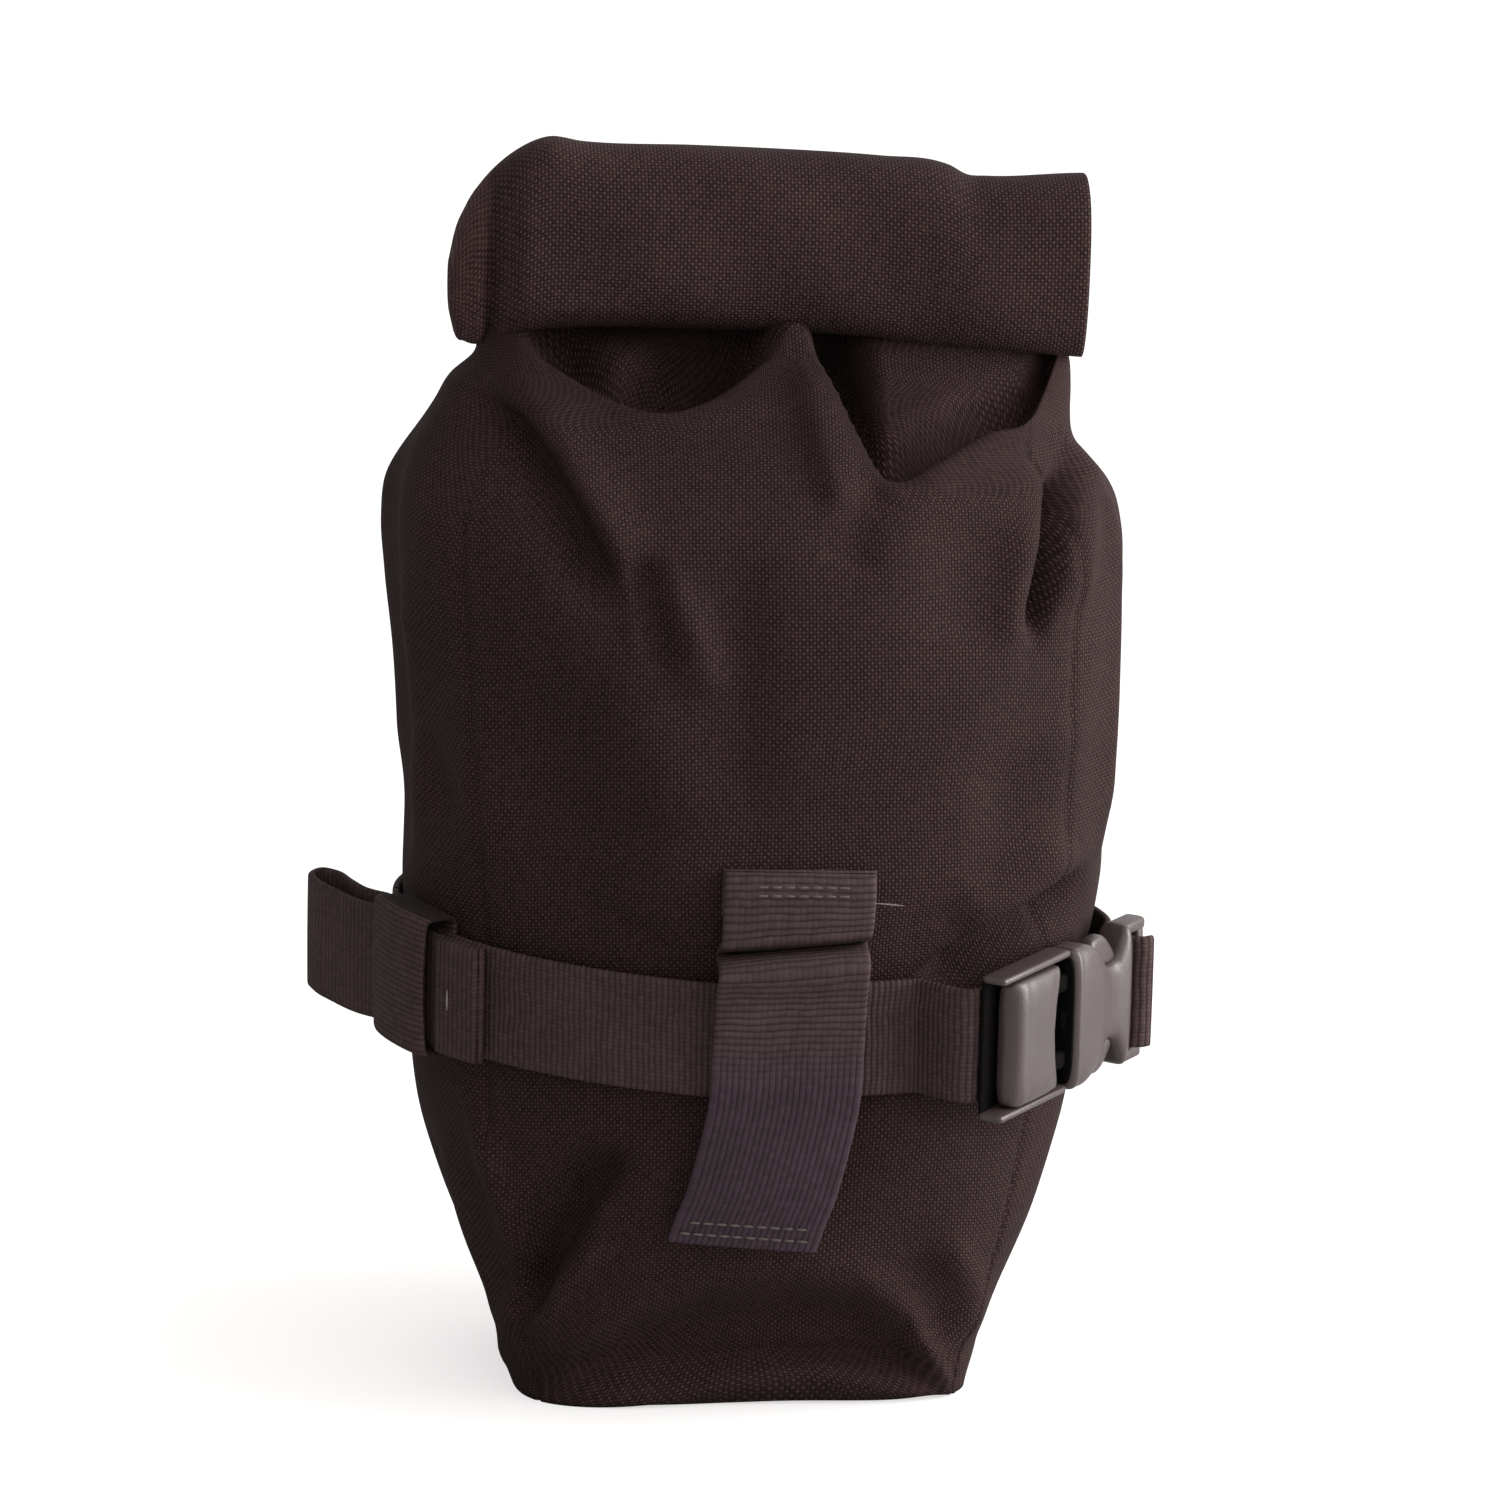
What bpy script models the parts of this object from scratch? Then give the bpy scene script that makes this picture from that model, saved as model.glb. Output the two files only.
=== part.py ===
"""A small roll-top saddle bag, standing on its base, in metres.

X runs to the right along the roll, Y to the back and Z up. The origin is the centre of the base's
underside. The bag is sewn from a front and a rear panel with a gusset on each side, and is closed by a
collar that rolls down towards the front. A webbing strap runs round it, through loops on the front and
the back, to a side-release buckle on the front right corner, and its free tail comes back through a
keeper on the left.
"""

import math

import bmesh
import bpy
from mathutils import Vector

# The body, as horizontal sections: height, half width, half depth, middle's Y, roundness exponent.
SECTIONS = (
    (0.0000, 0.0390, 0.0270, 0.000, 3.2),
    (0.0090, 0.0430, 0.0300, 0.000, 3.0),
    (0.0330, 0.0520, 0.0380, 0.000, 2.5),
    (0.0580, 0.0580, 0.0430, 0.000, 2.2),
    (0.0850, 0.0595, 0.0430, 0.000, 2.2),
    (0.1120, 0.0605, 0.0450, 0.000, 2.3),
    (0.1410, 0.0630, 0.0450, 0.000, 2.4),
    (0.1540, 0.0615, 0.0400, 0.001, 2.4),
    (0.1660, 0.0565, 0.0290, 0.003, 2.3),
    (0.1750, 0.0515, 0.0160, 0.005, 2.2),
    (0.1800, 0.0495, 0.0100, 0.006, 2.2),
)
WALL = 0.0012
GAP = 0.0003
PANEL_BOTTOM = 0.0022
MOUTH_Z = 0.1800
FRONT_CORNER = 38.0    # degrees from the X axis, where the front panel meets a gusset
REAR_CORNER = 38.0
PANEL_ROWS = 17

BASE_THICK = 0.0016
LINER_THICK = 0.0005
LINER_TOP = 0.154
STIFFENER_THICK = 0.0015

WEB_THICK = 0.0013
STRAP_WIDTH = 0.020
STRAP_Z = 0.0715
STRAP_OFFSET = 0.0020  # from the body's surface to the strap's inner face

# Loops stand LOOP_FLAT off the wall at their sewn ends, and rise over the strap within LOOP_SLOPE.
LOOP_FLAT = GAP + WEB_THICK / 2 + 0.0004
LOOP_REACH = 0.0020
LOOP_SLOPE = 0.0100
FRONT_LOOP_WIDTH = 0.025
FRONT_LOOP_SLANT = (0.0035, -0.0050)
FRONT_LOOP_ENDS = (0.1003, 0.0355)
REAR_LOOP_ENDS = (0.0980, 0.0450)
REAR_LOOP_TURN = 22.0  # degrees from the middle of the back

# The buckle lies along one straight line in plan, turned round the front right corner.
BUCKLE_START = (0.0393, -0.0478)
BUCKLE_TURN = 53.0     # degrees from +X towards +Y
BUCKLE_THICK = 0.0074
BUCKLE_WIDTH = 0.0262

# The collar narrows from the mouth to a flat sleeve that rises behind the roll.
COLLAR_RISE = 0.0075
COLLAR_TOP_Y = 0.0065
COLLAR_FLATTEN = 0.34

# The roll is a flattened spiral of the doubled collar.
ROLL_CENTRE = (-0.004, 0.2000)
ROLL_LEFT = -0.0520
ROLL_RIGHT = 0.0570
ROLL_HALF_HEIGHT = 0.0150
ROLL_HALF_DEPTH = 0.0085
ROLL_TURNS = 2.1
ROLL_CLOTH = 0.0016
ROLL_PITCH = 0.0022

# Angles in degrees round the strap's ring: 180 is the left side and 270 the front.
KEEPER_AT = 199.0
KEEPER_SPAN = 14.0
KEEPER_WALL = 0.0008
TAIL_HEM_AT = 224.0
TAIL_LEAVES_AT = 187.0
TAIL_RETURNS_AT = 162.0
TAIL_BEND = (
    (-0.0695, 0.0010), (-0.0745, 0.0065), (-0.0768, 0.0115), (-0.0750, 0.0150), (-0.0705, 0.0142),
)

FABRIC = ((0.031, 0.019, 0.018), 0.88, 0.0)
LINING = ((0.060, 0.055, 0.055), 0.75, 0.0)
BOARD = ((0.020, 0.020, 0.020), 0.55, 0.0)
WEBBING = ((0.034, 0.024, 0.023), 0.80, 0.0)
PLASTIC = ((0.060, 0.052, 0.052), 0.38, 0.0)
TAPE = ((0.022, 0.020, 0.020), 0.95, 0.0)


def clear_scene():
    for item in list(bpy.data.objects):
        bpy.data.objects.remove(item, do_unlink=True)


def make_material(name, look):
    colour, roughness, metallic = look
    material = bpy.data.materials.new(name)
    material.use_nodes = True
    shader = material.node_tree.nodes["Principled BSDF"]
    shader.inputs["Base Color"].default_value = (*colour, 1.0)
    shader.inputs["Roughness"].default_value = roughness
    shader.inputs["Metallic"].default_value = metallic
    material.diffuse_color = (*colour, 1.0)
    return material


def add_object(name, shape, look, smooth=True):
    """The object of a bmesh whose coordinates are in the world."""
    bmesh.ops.recalc_face_normals(shape, faces=shape.faces)
    mesh = bpy.data.meshes.new(name)
    shape.to_mesh(mesh)
    shape.free()
    thing = bpy.data.objects.new(name, mesh)
    bpy.context.scene.collection.objects.link(thing)
    mesh.materials.append(make_material(name, look))
    if smooth:
        mesh.shade_smooth()
        mesh.set_sharp_from_angle(angle=math.radians(35))
    return thing


def put_origin(thing, point, parent=None):
    """Moves an object's origin to a point of the world without moving its shape."""
    shift = Vector(point)
    for vertex in thing.data.vertices:
        vertex.co -= shift
    thing.location = shift
    if parent is not None:
        thing.location = shift - parent.location
        thing.parent = parent


def add_pivot(name, point):
    pivot = bpy.data.objects.new(name, None)
    pivot.location = point
    pivot.empty_display_size = 0.01
    bpy.context.scene.collection.objects.link(pivot)
    return pivot


def section_at(height):
    """Half width, half depth, middle and exponent at a height, on a smooth curve through SECTIONS."""
    last = len(SECTIONS) - 1
    index = 0
    while index < last - 1 and SECTIONS[index + 1][0] < height:
        index += 1
    before = SECTIONS[max(index - 1, 0)]
    start = SECTIONS[index]
    end = SECTIONS[index + 1]
    after = SECTIONS[min(index + 2, last)]
    span = end[0] - start[0]
    share = min(max((height - start[0]) / span, 0.0), 1.0)
    values = []
    for part in range(1, 5):
        slope_in = (end[part] - before[part]) / (end[0] - before[0]) * span
        slope_out = (after[part] - start[part]) / (after[0] - start[0]) * span
        values.append(
            (2 * share**3 - 3 * share**2 + 1) * start[part]
            + (share**3 - 2 * share**2 + share) * slope_in
            + (3 * share**2 - 2 * share**3) * end[part]
            + (share**3 - share**2) * slope_out
        )
    return values


def signed_power(value, power):
    return math.copysign(abs(value) ** power, value)


def wall_point(angle, height, offset):
    """A point at an angle in degrees round the body, offset outwards from its surface."""
    half_width, half_depth, middle, exponent = section_at(height)
    cosine = math.cos(math.radians(angle))
    sine = math.sin(math.radians(angle))
    x = half_width * signed_power(cosine, 2 / exponent)
    y = half_depth * signed_power(sine, 2 / exponent)
    normal_x = signed_power(x / half_width, exponent - 1) / half_width
    normal_y = signed_power(y / half_depth, exponent - 1) / half_depth
    length = math.hypot(normal_x, normal_y)
    return Vector((x + offset * normal_x / length, middle + y + offset * normal_y / length, height))


def steps(start, end, count):
    return [start + (end - start) * i / (count - 1) for i in range(count)]


def closed_grid(rings):
    """A closed body from equal rings of points, each ring a closed outline, with both ends capped."""
    shape = bmesh.new()
    rows = [[shape.verts.new(point) for point in ring] for ring in rings]
    count = len(rows[0])
    for low, high in zip(rows, rows[1:]):
        for i in range(count):
            j = (i + 1) % count
            shape.faces.new((low[i], low[j], high[j], high[i]))
    shape.faces.new(rows[0])
    shape.faces.new(rows[-1])
    return shape


def tube_shell(rings_out, rings_in):
    """A closed body between an outer and an inner tube, joined at the top and the bottom rim."""
    shape = bmesh.new()
    walls = []
    for rings in (rings_out, rings_in):
        walls.append([[shape.verts.new(point) for point in ring] for ring in rings])
    count = len(rings_out[0])
    for rows in walls:
        for low, high in zip(rows, rows[1:]):
            for i in range(count):
                j = (i + 1) % count
                shape.faces.new((low[i], low[j], high[j], high[i]))
    for end in (0, -1):
        outer = walls[0][end]
        inner = walls[1][end]
        for i in range(count):
            j = (i + 1) % count
            shape.faces.new((outer[i], outer[j], inner[j], inner[i]))
    return shape


def strip(centres, side, width, thickness):
    """A closed strip of webbing along a path, its width along one direction."""
    rings = []
    last = len(centres) - 1
    half_side = Vector(side).normalized() * width / 2
    for i, centre in enumerate(centres):
        along = centres[min(i + 1, last)] - centres[max(i - 1, 0)]
        up = along.cross(half_side).normalized() * thickness / 2
        rings.append([
            centre - half_side - up, centre + half_side - up,
            centre + half_side + up, centre - half_side + up,
        ])
    return closed_grid(rings)


def box(low, high):
    shape = bmesh.new()
    bmesh.ops.create_cube(shape, size=1.0)
    size = Vector(high) - Vector(low)
    middle = (Vector(high) + Vector(low)) / 2
    for vertex in shape.verts:
        vertex.co = Vector(vertex.co[i] * size[i] for i in range(3)) + middle
    return shape


def add_cutter(name, low, high, turn, parent_point):
    """A box that cuts another object, in the buckle's own directions."""
    shape = box(low, high)
    cutter = add_object(name, shape, PLASTIC, smooth=False)
    cutter.rotation_euler = (0, 0, turn)
    cutter.location = parent_point
    cutter.hide_render = True
    cutter.display_type = "WIRE"
    return cutter


def cut(thing, cutter):
    modifier = thing.modifiers.new(cutter.name, "BOOLEAN")
    modifier.operation = "DIFFERENCE"
    modifier.object = cutter
    modifier.solver = "EXACT"


# --- the bag's body ---------------------------------------------------------------------------------

def panel_angles():
    """Each panel's name and the angles it spans, anticlockwise from +X."""
    return {
        "gusset_right": (-FRONT_CORNER, REAR_CORNER, 10),
        "rear_panel": (REAR_CORNER, 180 - REAR_CORNER, 13),
        "gusset_left": (180 - REAR_CORNER, 180 + FRONT_CORNER, 10),
        "front_panel": (180 + FRONT_CORNER, 360 - FRONT_CORNER, 13),
    }


def add_wall_panel(name, start, end, columns):
    """One curved panel of the body, from the base to the mouth."""
    rings = []
    for height in steps(PANEL_BOTTOM, MOUTH_Z, PANEL_ROWS):
        half_width = section_at(height)[0]
        seam = math.degrees(GAP / 2 / half_width)
        angles = steps(start + seam, end - seam, columns)
        outer = [wall_point(angle, height, 0.0) for angle in angles]
        inner = [wall_point(angle, height, -WALL) for angle in reversed(angles)]
        rings.append(outer + inner)
    add_object(name, closed_grid(rings), FABRIC)


def add_base_panel():
    """The flat bottom of the bag, sewn inside the walls' lower edge."""
    ring = [wall_point(angle, 0.0, 0.0) for angle in range(0, 360, 10)]
    top = [point + Vector((0, 0, PANEL_BOTTOM - GAP)) for point in ring]
    add_object("base_panel", closed_grid([ring, top]), FABRIC)


def inner_ring(height, offset):
    return [wall_point(angle, height, offset) for angle in range(0, 360, 12)]


def add_liner():
    """The lining: a thin tube just inside the walls, open at both ends."""
    outside = -(WALL + 3 * GAP)
    heights = steps(PANEL_BOTTOM + 2 * GAP, LINER_TOP, 10)
    outer = [inner_ring(height, outside) for height in heights]
    inner = [inner_ring(height, outside - LINER_THICK) for height in heights]
    add_object("liner", tube_shell(outer, inner), LINING)


def add_base_stiffener():
    """A board on the bottom that keeps the narrow end flat."""
    low = PANEL_BOTTOM + GAP
    inset = -(WALL + LINER_THICK + 5 * GAP)
    rings = [inner_ring(height, inset) for height in (low, low + STIFFENER_THICK)]
    add_object("base_stiffener", closed_grid(rings), BOARD)


def add_back_stiffener():
    """A board inside the rear panel, which keeps the side that meets the seat post flat."""
    inset = -(WALL + LINER_THICK + 6 * GAP + STIFFENER_THICK / 2)
    rings = []
    for height in steps(0.012, 0.136, 11):
        angles = steps(60, 120, 7)
        outer = [wall_point(angle, height, inset + STIFFENER_THICK / 2) for angle in angles]
        inner = [wall_point(angle, height, inset - STIFFENER_THICK / 2) for angle in reversed(angles)]
        rings.append(outer + inner)
    add_object("back_stiffener", closed_grid(rings), BOARD)


# --- the collar and the roll ------------------------------------------------------------------------

def collar_ring(share, offset):
    """A ring of the collar, from the mouth's outline to a flat sleeve behind the roll's lower edge."""
    ring = []
    for angle in range(0, 360, 12):
        point = wall_point(angle, MOUTH_Z, offset)
        flat = COLLAR_TOP_Y + (point.y - section_at(MOUTH_Z)[2]) * COLLAR_FLATTEN
        rise = MOUTH_Z + GAP + share * COLLAR_RISE
        ring.append(Vector((point.x, point.y + (flat - point.y) * share, rise)))
    return ring


def add_collar():
    """The doubled cloth between the mouth and the roll, which pays out as the roll opens."""
    outer = [collar_ring(share, 0.0) for share in steps(0.0, 1.0, 4)]
    inner = [collar_ring(share, -WALL) for share in steps(0.0, 1.0, 4)]
    add_object("collar", tube_shell(outer, inner), FABRIC)


def roll_point(turned):
    """The spiral's centre line after an angle in radians, from its outer end at the back."""
    shrink = ROLL_PITCH * turned / math.tau
    y = ROLL_CENTRE[0] + (ROLL_HALF_DEPTH - shrink) * math.cos(turned - 0.35)
    z = ROLL_CENTRE[1] + (ROLL_HALF_HEIGHT - shrink) * math.sin(turned - 0.35)
    return Vector(((ROLL_LEFT + ROLL_RIGHT) / 2, y, z))


def add_roll(pivot):
    turns = steps(0.0, ROLL_TURNS * math.tau, 64)
    cloth = strip([roll_point(t) for t in turns], (1, 0, 0), ROLL_RIGHT - ROLL_LEFT, ROLL_CLOTH)
    put_origin(add_object("roll_top", cloth, FABRIC), pivot.location, pivot)
    inset = 0.004
    tall = 0.0085
    plates = {
        "mouth_stiffener": (0.0, 0.0012, BOARD),
        "hook_tape": (-0.0013, 0.0008, TAPE),
        "loop_tape": (0.0013, 0.0008, TAPE),
    }
    for name, (middle, thickness, look) in plates.items():
        low = (ROLL_LEFT + inset, ROLL_CENTRE[0] + middle - thickness / 2, ROLL_CENTRE[1] - tall)
        high = (ROLL_RIGHT - inset, ROLL_CENTRE[0] + middle + thickness / 2, ROLL_CENTRE[1] + tall)
        put_origin(add_object(name, box(low, high), look, smooth=False), pivot.location, pivot)


# --- the strap and its loops ------------------------------------------------------------------------

def strap_path(start, end, count, offset):
    middle = STRAP_OFFSET + WEB_THICK / 2 + offset
    return [wall_point(angle, STRAP_Z, middle) for angle in steps(start, end, count)]


def add_front_strap():
    """The strap under the front loop, from the loop's middle round to the left side."""
    path = strap_path(265, 178, 22, 0.0)
    add_object("strap_front", strip(path, (0, 0, 1), STRAP_WIDTH, WEB_THICK), WEBBING)


def add_rear_strap():
    """The strap from the left side round the back, under the socket's end bar and up into its slot."""
    below = -(BUCKLE_THICK / 2 + GAP + WEB_THICK / 2 + 0.0003)
    slot = 0.0411
    ending = [(slot + 0.0080, below), (slot + 0.0020, below), (slot + 0.0003, below + 0.0008)]
    ending += [(slot, below + 0.0020), (slot, BUCKLE_THICK / 2 - 0.0005)]
    path = strap_path(177, 8, 36, 0.0)
    path += [in_buckle(distance, depth, 0.0) for distance, depth in ending]
    add_object("strap_rear", strip(path, (0, 0, 1), STRAP_WIDTH, WEB_THICK), WEBBING)


def smooth_through(points, count):
    """Points along a smooth curve through a few chosen ones."""
    spans = len(points) - 1
    padded = [points[0] * 2 - points[1]] + points + [points[-1] * 2 - points[-2]]
    path = []
    for value in steps(0.0, spans, count):
        index = min(int(value), spans - 1)
        share = value - index
        a, b, c, d = padded[index:index + 4]
        path.append(0.5 * (
            2 * b + (c - a) * share + (2 * a - 5 * b + 4 * c - d) * share**2
            + (3 * b - 3 * c + d - a) * share**3
        ))
    return path


def add_strap_tail():
    """The free tail: its hemmed end on the front run, back under the keeper and out in a tight bend."""
    above = WEB_THICK + GAP
    lying = strap_path(TAIL_HEM_AT, TAIL_LEAVES_AT, 12, above)
    bend = [Vector((x, y, STRAP_Z)) for x, y in TAIL_BEND]
    returning = strap_path(TAIL_RETURNS_AT, TAIL_RETURNS_AT - 12, 5, above + GAP)
    loose = smooth_through([lying[-1]] + bend + returning[:1], 24)
    path = lying[:-1] + loose[:-1] + returning
    add_object("strap_tail", strip(path, (0, 0, 1), STRAP_WIDTH, WEB_THICK), WEBBING)


def keeper_ring(angle, inner, outer, half):
    """The four corners of the keeper's section at an angle round the strap."""
    corners = ((inner, -half), (outer, -half), (outer, half), (inner, half))
    return [wall_point(angle, STRAP_Z, offset) + Vector((0, 0, rise)) for offset, rise in corners]


def add_keeper(pivot):
    """A closed band of thin webbing round the strap and its tail, curved like them."""
    wall = KEEPER_WALL
    inner = STRAP_OFFSET - 2 * GAP
    outer = STRAP_OFFSET + 2 * WEB_THICK + 4 * GAP
    half = STRAP_WIDTH / 2 + 2 * GAP
    angles = steps(KEEPER_AT - KEEPER_SPAN / 2, KEEPER_AT + KEEPER_SPAN / 2, 5)
    inside = [keeper_ring(angle, inner, outer, half) for angle in angles]
    outside = [keeper_ring(angle, inner - wall, outer + wall, half + wall) for angle in angles]
    put_origin(add_object("strap_keeper", tube_shell(outside, inside), WEBBING), pivot.location, pivot)


def strap_bend_centre(angle):
    """The centre of the circle that the strap's ring follows at an angle."""
    before, middle, after = (wall_point(angle + turn, STRAP_Z, STRAP_OFFSET) for turn in (-6, 0, 6))
    chord_in = middle - before
    chord_out = after - middle
    cross = chord_in.x * chord_out.y - chord_in.y * chord_out.x
    radius = chord_in.length * chord_out.length * (after - before).length / (2 * abs(cross))
    inward = (wall_point(angle, STRAP_Z, 0.0) - middle).normalized()
    return middle + inward * radius


def loop_lift(height):
    """How far a loop stands off the wall at a height, to pass over the strap."""
    clear = STRAP_OFFSET + WEB_THICK + GAP
    reach = STRAP_WIDTH / 2 + LOOP_REACH
    share = min(max((abs(height - STRAP_Z) - reach) / LOOP_SLOPE, 0.0), 1.0)
    return clear * (1 - share * share * (3 - 2 * share))


def add_loop(name, angle, slant, width, top, bottom):
    """A loop sewn down at both ends. The slant is the X of its top and of its bottom from the angle's."""
    across = (wall_point(angle + 1, STRAP_Z, 0.0) - wall_point(angle - 1, STRAP_Z, 0.0)).normalized()
    path = []
    for height in steps(top, bottom, 20):
        share = (top - height) / (top - bottom)
        point = wall_point(angle, height, LOOP_FLAT + loop_lift(height))
        point.x += slant[0] + (slant[1] - slant[0]) * share * share
        path.append(point)
    add_object(name, strip(path, across, width, WEB_THICK), WEBBING)


# --- the buckle -------------------------------------------------------------------------------------

def buckle_frame():
    """The buckle's start, its direction, its outward normal and its turn in radians."""
    turn = math.radians(BUCKLE_TURN)
    along = Vector((math.cos(turn), math.sin(turn), 0))
    outward = Vector((math.sin(turn), -math.cos(turn), 0))
    return Vector((*BUCKLE_START, STRAP_Z)), along, outward, turn


def in_buckle(distance, depth, rise):
    """A world point from a distance along the buckle, a depth outwards and a height over its middle."""
    start, along, outward, _ = buckle_frame()
    return start + along * distance + outward * depth + Vector((0, 0, rise))


def add_slab(name, outline, depth_low, depth_high):
    """An outline of (distance, rise) points, extruded through the buckle's depth."""
    rings = [[in_buckle(d, depth, r) for d, r in outline] for depth in (depth_low, depth_high)]
    return add_object(name, closed_grid(rings), PLASTIC, smooth=False)


def add_buckle_cutter(name, low, high):
    """A cutter box given by distance, depth and rise."""
    start, _, _, turn = buckle_frame()
    flipped_low = (low[0], -high[1], low[2])
    flipped_high = (high[0], -low[1], high[2])
    return add_cutter(name, flipped_low, flipped_high, turn, start)


def add_male(pivot):
    """The buckle's plug: a ladder frame for the strap, a block and a centre guide."""
    half = BUCKLE_WIDTH / 2
    corner = 0.0020
    outline = [
        (0.0, -half + corner), (corner, -half), (0.0165, -half), (0.0185, -0.0095),
        (0.0185, -0.0022), (0.0335, -0.0016), (0.0335, 0.0016), (0.0185, 0.0022),
        (0.0185, 0.0095), (0.0165, half), (corner, half), (0.0, half - corner),
    ]
    male = add_slab("buckle_male", outline, -0.0018, 0.0018)
    slot_half = STRAP_WIDTH / 2 + 0.0006
    for name, low, high in (("slot_front", 0.0058, 0.0088), ("slot_rear", 0.0112, 0.0138)):
        cutter = add_buckle_cutter(f"cut_{name}", (low, -0.01, -slot_half), (high, 0.01, slot_half))
        cut(male, cutter)
    put_origin(male, pivot.location, pivot)


def add_prong(name, side, pivot):
    """A sprung arm of the plug, with the catch that fills the socket's window."""
    root = 0.0188
    outline = [
        (root, side * 0.0056), (root, side * 0.0082), (0.0265, side * 0.0088),
        (0.0270, side * 0.0118), (0.0330, side * 0.0112), (0.0352, side * 0.0084), (0.0352, side * 0.0066),
    ]
    arm = add_slab(name, outline, -0.0016, 0.0016)
    put_origin(arm, in_buckle(root, 0.0, side * 0.0069), pivot)


def add_female():
    """The buckle's socket: a hollow body with side windows for the catches and a bar for the strap."""
    half = BUCKLE_WIDTH / 2
    depth = BUCKLE_THICK / 2
    outline = [
        (0.0190, -half), (0.0245, -half), (0.0275, -half + 0.0018), (0.0345, -half + 0.0018),
        (0.0375, -half + 0.0006), (0.0440, -half + 0.0006), (0.0455, -half + 0.0022),
        (0.0455, half - 0.0022), (0.0440, half - 0.0006), (0.0375, half - 0.0006),
        (0.0345, half - 0.0018), (0.0275, half - 0.0018), (0.0245, half), (0.0190, half),
    ]
    female = add_slab("buckle_female", outline, -depth, depth)
    slot_half = STRAP_WIDTH / 2 + 0.0005
    cut(female, add_buckle_cutter("cut_pocket", (0.0150, -0.0022, -0.0100), (0.0372, 0.0022, 0.0100)))
    cut(female, add_buckle_cutter("cut_windows", (0.0262, -0.0020, -0.0200), (0.0356, 0.0020, 0.0200)))
    cut(female, add_buckle_cutter("cut_bar", (0.0396, -0.0100, -slot_half), (0.0426, 0.0100, slot_half)))


def add_buckle_run():
    """The strap's short run from under the front loop to the plug, turned back round its bar."""
    path = strap_path(266, 296, 9, 0.0)
    points = [path[-1], in_buckle(-0.0035, -0.0038, 0.0), in_buckle(0.0040, -0.0030, 0.0)]
    path = path[:-1] + smooth_through(points, 7)
    add_object("strap_buckle_run", strip(path, (0, 0, 1), STRAP_WIDTH, WEB_THICK), WEBBING)


def add_male_fold(pivot):
    """The strap's end: up through the plug's first slot, over its bar and down the second slot."""
    bar = 0.0100
    reach = 0.0018 + 2 * GAP + WEB_THICK * 0.4
    half = 0.0012 + GAP + WEB_THICK * 0.4
    ease = 0.0007
    outline = [
        (bar - half - 0.0027, -reach), (bar - half - ease, -reach), (bar - half, -reach + ease),
        (bar - half, reach - ease), (bar - half + ease, reach), (bar + half - ease, reach),
        (bar + half, reach - ease), (bar + half, -0.0014),
    ]
    path = [in_buckle(distance, depth, 0.0) for distance, depth in outline]
    fold = add_object("strap_male_fold", strip(path, (0, 0, 1), STRAP_WIDTH, WEB_THICK * 0.8), WEBBING)
    put_origin(fold, pivot.location, pivot)


def build():
    clear_scene()
    for name, (start, end, columns) in panel_angles().items():
        add_wall_panel(name, start, end, columns)
    add_base_panel()
    add_liner()
    add_base_stiffener()
    add_back_stiffener()
    add_collar()
    roll_pivot = add_pivot("roll_axis", (0.0, *ROLL_CENTRE))
    add_roll(roll_pivot)
    add_front_strap()
    add_rear_strap()
    add_strap_tail()
    add_keeper(add_pivot("keeper_axis", strap_bend_centre(KEEPER_AT)))
    add_loop("front_loop", 270, FRONT_LOOP_SLANT, FRONT_LOOP_WIDTH, *FRONT_LOOP_ENDS)
    for name, turn in (("rear_loop_left", REAR_LOOP_TURN), ("rear_loop_right", -REAR_LOOP_TURN)):
        add_loop(name, 90 + turn, (0.0, 0.0), STRAP_WIDTH, *REAR_LOOP_ENDS)
    buckle_pivot = add_pivot("buckle_axis", in_buckle(0.0, 0.0, 0.0))
    add_male(buckle_pivot)
    add_male_fold(buckle_pivot)
    for name, side in (("prong_upper", 1), ("prong_lower", -1)):
        add_prong(name, side, buckle_pivot)
    add_female()
    add_buckle_run()


build()
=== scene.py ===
import math

import bmesh
import bpy
import numpy as np
from mathutils import Matrix, Vector


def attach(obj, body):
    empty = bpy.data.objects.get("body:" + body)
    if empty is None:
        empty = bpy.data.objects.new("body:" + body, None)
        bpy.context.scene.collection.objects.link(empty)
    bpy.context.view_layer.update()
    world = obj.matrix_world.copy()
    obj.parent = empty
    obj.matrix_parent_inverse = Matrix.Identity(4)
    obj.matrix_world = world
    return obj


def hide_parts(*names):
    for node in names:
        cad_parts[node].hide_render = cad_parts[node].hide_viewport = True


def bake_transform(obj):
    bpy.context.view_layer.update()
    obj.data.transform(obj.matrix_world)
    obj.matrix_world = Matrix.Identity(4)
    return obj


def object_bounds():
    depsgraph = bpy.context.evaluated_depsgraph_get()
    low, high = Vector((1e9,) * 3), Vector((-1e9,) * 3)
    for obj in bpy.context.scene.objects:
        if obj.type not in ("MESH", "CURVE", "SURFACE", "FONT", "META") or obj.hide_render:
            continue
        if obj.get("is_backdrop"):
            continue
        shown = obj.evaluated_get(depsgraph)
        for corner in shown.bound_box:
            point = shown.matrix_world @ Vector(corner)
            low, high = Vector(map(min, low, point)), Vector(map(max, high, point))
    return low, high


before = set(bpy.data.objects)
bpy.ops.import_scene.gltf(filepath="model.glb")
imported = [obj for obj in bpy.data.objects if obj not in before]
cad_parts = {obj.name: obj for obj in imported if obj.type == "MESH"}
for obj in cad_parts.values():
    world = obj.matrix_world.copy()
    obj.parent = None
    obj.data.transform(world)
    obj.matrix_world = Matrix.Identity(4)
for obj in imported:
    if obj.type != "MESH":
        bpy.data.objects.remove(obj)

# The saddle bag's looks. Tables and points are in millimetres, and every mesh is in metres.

CAD_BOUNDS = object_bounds()
MM = 0.001

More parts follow.
